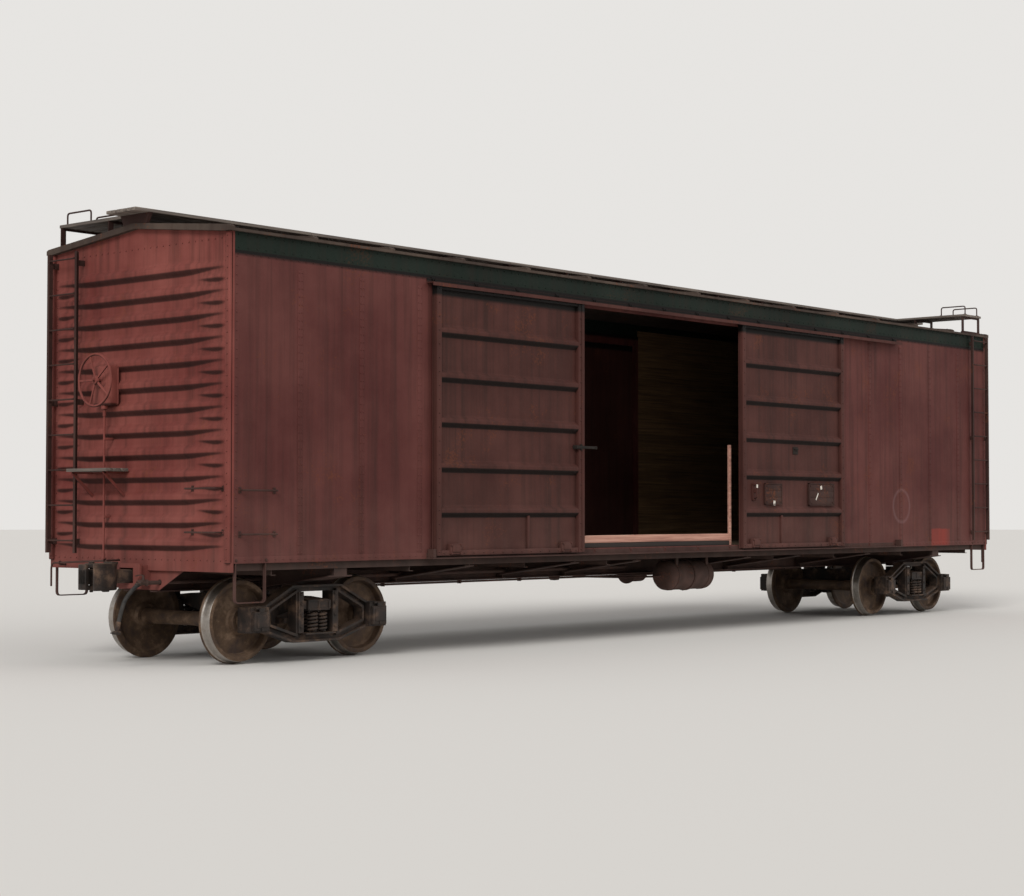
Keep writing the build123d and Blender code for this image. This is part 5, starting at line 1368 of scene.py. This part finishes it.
half_run = merged([
    drawn(circle(0.021, 14), rounded(pipe_path, 0.12, 6)),
    drawn(circle(0.0265, 16), rounded(cock_path, 0.03)),
    (collar, collar_places),
    (cock_key, [at(7.924, PIPE_Y, PIPE_Z + 0.008)]),
    drawn(flat_bar(0.020, 0.008), rounded(handle_path, 0.02)),
])
piece("air_pipe_run", [(half_run, BOTH_ENDS)], "underframe", stands_for=["brake_pipe"])

# %% [markdown]
# ## Hose couplings
# A hose is clamped on a nipple at each end, and the lower nipple carries the
# cast coupling with its round seat, which locks to the next car's coupling.

# %% Hose couplings
nipple = turned([(0.0, -0.035), (0.0225, -0.035), (0.0235, -0.030), (0.0235, 0.020), (0.020, 0.030),
                 (0.019, 0.070), (0.0, 0.070)], steps=24, closed=False)
clamp = turned([(0.0205, -0.008), (0.0255, -0.008), (0.0265, 0.0), (0.0255, 0.008), (0.0205, 0.008)],
               steps=24)
palm = block((8.186, 0.256, 0.338), (8.258, 0.326, 0.370), bevel=0.012, segments=4)
seat = turned([(0.016, 0.0), (0.028, 0.0), (0.030, -0.004), (0.030, -0.016), (0.016, -0.016)], steps=28)
ear_path = [(8.196, 0.262, 0.352), (8.226, 0.246, 0.350), (8.256, 0.250, 0.352)]
clamp_places = [
    at(*(hose_end - end_way * 0.020)) @ towards(end_way),
    at(*(hose_start + start_way * 0.018)) @ towards(start_way),
]
coupling = merged([
    (nipple, [at(*hose_end) @ towards(end_way)]),
    (clamp, clamp_places),
    palm,
    drawn(flat_bar(0.020, 0.012), rounded(ear_path, 0.015)),
    (seat, [at(8.222, 0.290, 0.3725)]),
])
for end, sign in ends.items():
    place = HERE[0] if sign == 1 else TURNED_ROUND
    made = piece(f"{end}_hose_coupling", [(coupling, [place])], "cast_steel", stands_for=["glad_hands"])

# %% [markdown]
# ## Floor
# The floor is tongued planks laid across the car. Modelled one by one with
# soft edges and a little wear, they show their joints in the light that falls
# through the doorway.

# %% Floor planks
PLANK = 0.140
LOAD_HALF_LENGTH = 7.690
FLOOR_TOP = 1.124
count = round(2 * LOAD_HALF_LENGTH / PLANK)
planks = []
for number in range(count):
    start = -LOAD_HALF_LENGTH + 2 * LOAD_HALF_LENGTH * number / count
    stop = start + 2 * LOAD_HALF_LENGTH / count
    top = FLOOR_TOP - 0.0012 * (1 + noise.noise((number * 1.7, 3.0, 5.0)))
    planks.append(block((start + 0.001, -1.341, 1.110), (stop - 0.001, 1.341, top), bevel=0.002))
planks.append(block((-GABLE_INNER, -1.398, 1.067), (GABLE_INNER, 1.398, 1.1185)))
piece("laid_floor_planks", planks, "floor_wood", stands_for=["floor"])

# %% [markdown]
# ## Lining
# The lining is thinner boards laid level against the walls and the ends, to
# keep the load off the steel. The top board is cut to what room is left.

# %% Lining boards
LINING_BOARD = 0.135
LINING_TOP = 4.200
BOARD_GAP = 0.0008
lining = []
for number in range(math.ceil((LINING_TOP - FLOOR_TOP) / LINING_BOARD)):
    low = FLOOR_TOP + LINING_BOARD * number
    high = min(low + LINING_BOARD, LINING_TOP) - BOARD_GAP
    low += BOARD_GAP
    on_side = block((WALL_START + 0.001, 1.390, low), (LOAD_HALF_LENGTH, 1.409, high), bevel=0.0025)
    on_end = block((7.6955, -1.387, low), (7.7145, 1.387, high), bevel=0.0025)
    lining += [(on_side, FOUR_CORNERS), (on_end, BOTH_ENDS)]
piece("laid_lining_boards", lining, "lining_wood", stands_for=["lining"])

# %% [markdown]
# ## Timbers in the doorway
# Loads are wedged with rough sawn lumber, and some of it was left behind: a pale plank that stands on a near
# black one, and an upright stake. The lower plank's dark colour is painted shade under the pale one. Lumber
# warps as it dries, so each stick is drawn along a path that wanders by a few millimetres.

# %% Doorway timbers
TIMBER_Y = -1.364
PLANK_ENDS = (-2.425, 0.800)
STAKE_X = 0.834
STICK_STEPS = 16
WARP = 0.004
WARP_SEED = 3
noise.seed_set(WARP_SEED)


def sawn(wide, deep, nick=0.004):
    """The corners of a sawn section whose edges are knocked off."""
    u, v = wide / 2, deep / 2
    return [(u, nick - v), (u, v - nick), (u - nick, v), (nick - u, v),
            (-u, v - nick), (-u, nick - v), (nick - u, -v), (u - nick, -v)]


def stick(section, start, stop, seed, up=(0, 0, 1)):
    """A warped stick between two points."""
    start, stop = Vector(start), Vector(stop)
    path = [start.lerp(stop, number / STICK_STEPS) for number in range(STICK_STEPS + 1)]
    shift = Vector((seed, 0, 0))
    return drawn(section, [point + noise.noise_vector(point + shift) * WARP for point in path], up)


def level_plank(section, z, seed):
    """A plank along the doorway, at one height."""
    return stick(section, (PLANK_ENDS[0], TIMBER_Y, z), (PLANK_ENDS[1], TIMBER_Y, z), seed)


stake = stick(sawn(0.041, 0.035), (STAKE_X, TIMBER_Y, 1.121), (STAKE_X, TIMBER_Y, 2.425), 5.0, (0, 1, 0))
piece("sawn_doorway_timbers", [level_plank(sawn(0.035, 0.090), 1.226, 2.0), stake], "fresh_wood",
      stands_for=["doorway_timbers"])
# the dark lower plank is painted shade under the pale one
piece("doorway_plank_in_painted_shade", [level_plank(sawn(0.033, 0.054), 1.150, 9.0)], "fresh_wood", wears="shade_dark_wood")

# %% [markdown]
# ## Truck details
# A journal box has a lid on a hinge at its top, held shut by a spring. The
# lids, their hinge pins and the bolts of the columns are small, and they are
# what tells a plain bearing truck from a plain block. The ends of the bolster
# are hollow castings with a rim, and their guides nearly touch the columns.

# %% Journal box lids, column bolts and bolster ends
LID_BACK = 1.127
RIM_BACK, RIM_FACE = 1.070, 1.084
lid = merged([
    block((-0.100, LID_BACK, 0.352), (0.100, 1.1400, 0.545), bevel=0.006, segments=3),
    block((-0.070, 1.1380, 0.385), (0.070, 1.1480, 0.515), bevel=0.004, segments=3),
    block((-0.035, LID_BACK, 0.535), (0.035, 1.1450, 0.585), bevel=0.006),
    drawn(circle(0.011, 12), [(-0.075, 1.122, 0.580), (0.075, 1.122, 0.580)]),
    block((-0.012, 1.1380, 0.350), (0.012, 1.1540, 0.382), bevel=0.004),
])
column_bolts = [at(x, RIM_BACK, z) @ OUT_FAR for x in (-0.240, 0.240) for z in (0.360, 0.480, 0.600, 0.700)]
bolster_end = merged([
    block((-0.150, RIM_BACK, 0.624), (0.150, RIM_FACE, 0.642), bevel=0.004),
    block((-0.150, RIM_BACK, 0.529), (0.150, RIM_FACE, 0.547), bevel=0.004),
    (block((-0.153, RIM_BACK, 0.529), (-0.135, RIM_FACE, 0.642), bevel=0.004), BOTH_HANDS),
    block((-0.009, RIM_BACK, 0.540), (0.009, 1.081, 0.632), bevel=0.003),
    (block((-0.198, 0.990, 0.542), (-0.145, 1.060, 0.634), bevel=0.010, segments=3), BOTH_HANDS),
])
axle_places = [at(-HALF_WHEELBASE, 0, 0), at(HALF_WHEELBASE, 0, 0)]
for truck, truck_sign in trucks.items():
    sides = pairs([at(truck_sign * TRUCK_CENTRE, 0, 0)], BOTH_SIDES)
    piece(f"{truck}_truck_box_lids",
          [(lid, pairs(sides, axle_places)), (bolt(0.014, 0.012), pairs(sides, column_bolts))],
          "cast_steel", f"{truck}_truck")
    piece(f"{truck}_truck_bolster_ends", [(bolster_end, sides)], "cast_steel", f"{truck}_truck")

# %% [markdown]
# ## Couplers
# A coupler head is one casting: a shank, a body with a guard arm, and lugs
# above and below that hold the knuckle's pin. The head is drawn as three
# layers that share the guard arm, because only the middle layer leaves room
# for the knuckle, and every layer gets the soft edges of a casting.

# %% Castings drawn from a plan
def casting(plan, low, high, soft):
    """An outline with rounded corners, raised from low to high, with soft upper and lower edges."""
    part = bmesh.new()
    turning = sum(a[0] * b[1] - b[0] * a[1] for a, b in zip(plan, plan[1:] + plan[:1]))
    plan = plan[::-1] if turning < 0 else plan
    middles = [((a[0] + b[0]) / 2, (a[1] + b[1]) / 2, 0) for a, b in zip(plan, plan[1:] + plan[:1])]
    corners = []
    for before, corner, after in zip(middles[-1:] + middles[:-1], plan, middles):
        reach = Vector((*corner, 0))
        span = min((Vector(before) - reach).length, (Vector(after) - reach).length)
        corners += rounded([before, reach, after], min(0.9 * span, 0.030), 4)[1:-1]
    base = part.faces.new([part.verts.new((point.x, point.y, low)) for point in corners])
    raised = bmesh.ops.extrude_face_region(part, geom=[base])["geom"]
    top = [item for item in raised if isinstance(item, bmesh.types.BMVert)]
    bmesh.ops.translate(part, vec=(0, 0, high - low), verts=top)
    rims = [edge for edge in part.edges if abs(edge.verts[0].co.z - edge.verts[1].co.z) < 1e-6]
    bmesh.ops.bevel(part, geom=rims, offset=soft, segments=3, profile=0.5, affect="EDGES", material=-1)
    return shaped(part)


shank = casting([(-0.062, -0.068), (0.062, -0.068), (0.062, 0.068), (-0.062, 0.068)], 7.260, 8.060, 0.010)
print("faces of the shank:", len(shank.polygons))

# %% [markdown]
# ## Coupler heads and knuckles
# The plans are drawn in metres, as seen from above. Heights are taken from
# the middle of the coupler, and the knuckle turns on a pin.

# %% Coupler heads and knuckles
COUPLER_Z = 0.901
PIN = (8.235, -0.100)
guard_arm = [(8.226, 0.060), (8.300, 0.106), (8.392, 0.131), (8.403, 0.166), (8.290, 0.172), (8.120, 0.139),
             (8.040, 0.064)]
lug_plan = [(8.040, -0.064), (8.120, -0.150), (8.215, -0.170), (8.288, -0.150), (8.288, -0.062),
            (8.228, -0.030), *guard_arm]
body_plan = [(8.040, -0.064), (8.120, -0.148), (8.160, -0.152), (8.168, -0.090), (8.200, -0.035),
             (8.226, -0.020), *guard_arm]
pin = turned([(0.0, 0.152), (0.016, 0.152), (0.030, 0.146), (0.030, 0.136), (0.019, 0.134), (0.019, -0.150),
              (0.014, -0.156), (0.0, -0.156)], steps=24, closed=False)
coupler = merged([
    casting(lug_plan, 0.086, 0.134, 0.010),
    casting(lug_plan, -0.134, -0.086, 0.010),
    casting(body_plan, -0.092, 0.092, 0.004),
    (shank, [OUT_RIGHT @ turn(90, "Z")]),
    (pin, [at(*PIN, 0)]),
    block((8.060, -0.010, 0.126), (8.150, 0.110, 0.150), bevel=0.010, segments=3),
    block((8.150, 0.040, -0.150), (8.220, 0.090, -0.126), bevel=0.010, segments=3),
])
knuckle_plan = [(8.230, -0.154), (8.330, -0.150), (8.404, -0.094), (8.411, -0.021), (8.386, 0.011),
                (8.342, 0.009), (8.338, -0.044), (8.265, -0.048), (8.230, -0.050)]
nose_plan = [(8.346, -0.128), (8.404, -0.094), (8.411, -0.021), (8.386, 0.011), (8.346, 0.009)]
hub = turned([(0.022, -0.077), (0.052, -0.077), (0.057, -0.070), (0.057, 0.070), (0.052, 0.077),
              (0.022, 0.077)], steps=32)
knuckle = merged([
    casting(knuckle_plan, -0.077, 0.077, 0.008),
    casting(nose_plan, -0.127, 0.127, 0.008),
    (hub, [at(*PIN, 0)]),
])
right_place, left_place = pairs(BOTH_ENDS, [at(0, 0, COUPLER_Z)])
piece("cast_couplers", [(coupler, [right_place, left_place])], "cast_steel", stands_for=["coupler_bodies"])
piece("cast_right_knuckle", [(knuckle, [right_place])], "cast_steel", "right_knuckle", ["right_knuckle"])
piece("cast_left_knuckle", [(knuckle, [left_place])], "cast_steel", "left_knuckle", ["left_knuckle"])

# %% [markdown]
# ## Rivets along the edges
# The ends and the bands below the eaves are riveted along their edges. These
# are rows again, set once and copied to both ends and both sides.

# %% Rivets along the edges
PLATE_SEAT = 7.7525
POST_SEAT = 7.780
end_rows = merged([
    *[row(right_rivet, (PLATE_SEAT, y, 1.095), (PLATE_SEAT, y, 4.200), 0.095) for y in (-1.360, 1.360)],
    *[row(right_rivet, (POST_SEAT, y, 1.085), (POST_SEAT, y, 4.250), 0.105) for y in (-1.415, 1.415)],
    *[row(right_rivet, (PLATE_SEAT, -1.30, z), (PLATE_SEAT, 1.30, z), 0.10) for z in (1.075, 4.235)],
])
band_rows = merged([row(far_rivet, (-7.66, 1.4445, z), (7.66, 1.4445, z), 0.12) for z in (4.140, 4.262)])
piece("end_rivets", [(end_rows, BOTH_ENDS)], "end_paint")
piece("eave_band_rivets", [(band_rows, BOTH_SIDES)], "band_paint")

# %% [markdown]
# ## Bolts of the roof caps
# Pressed caps cover the seams between the roof's panels, and bolts hold them
# down. The bolts stand square to the slope of the roof.

# %% Roof cap bolts
ROOF_RISE = 0.152
ROOF_REACH = 1.485
CAP_CREST = 4.4965
CAP_FALL = 0.149 / 1.455
BOLT_SHARES = (0.06, 0.22, 0.38, 0.54, 0.70, 0.86)
square_to_roof = Matrix.Rotation(-math.atan2(ROOF_RISE, ROOF_REACH), 4, "X")
cap_bolts = []
for x in cap_places:
    for share in BOLT_SHARES:
        y = 1.470 * (1 - share)
        cap_bolts.append(at(x, y, CAP_CREST - y * CAP_FALL) @ square_to_roof)
piece("roof_cap_bolts", [(head(0.013, 0.008), pairs(BOTH_SIDES, cap_bolts))], "roof_paint")

# %% [markdown]
# ## Door track brackets
# Small bolted brackets hold the tracks above and below the doors, at an even
# pitch along both sides.

# %% Door track brackets
BRACKETS = 15
BRACKET_PITCH = 0.70
FIRST_BRACKET = -4.90
brackets = merged([
    block((-0.030, 1.448, 4.028), (0.030, 1.4625, 4.090), bevel=0.003),
    block((-0.030, 1.450, 4.024), (0.030, 1.552, 4.034), bevel=0.002),
    (far_bolt, [at(-0.014, 1.4620, 4.066), at(0.014, 1.4620, 4.066)]),
    block((-0.025, 1.448, 1.0450), (0.025, 1.4605, 1.118), bevel=0.003),
    (far_bolt, [at(0, 1.4600, 1.098)]),
])
track_places = [at(FIRST_BRACKET + BRACKET_PITCH * number, 0, 0) for number in range(BRACKETS)]
# the brackets carry the track's painted shade above its lip
piece("door_track_brackets", [(brackets, pairs(BOTH_SIDES, track_places))], "hardware", wears="track_paint")
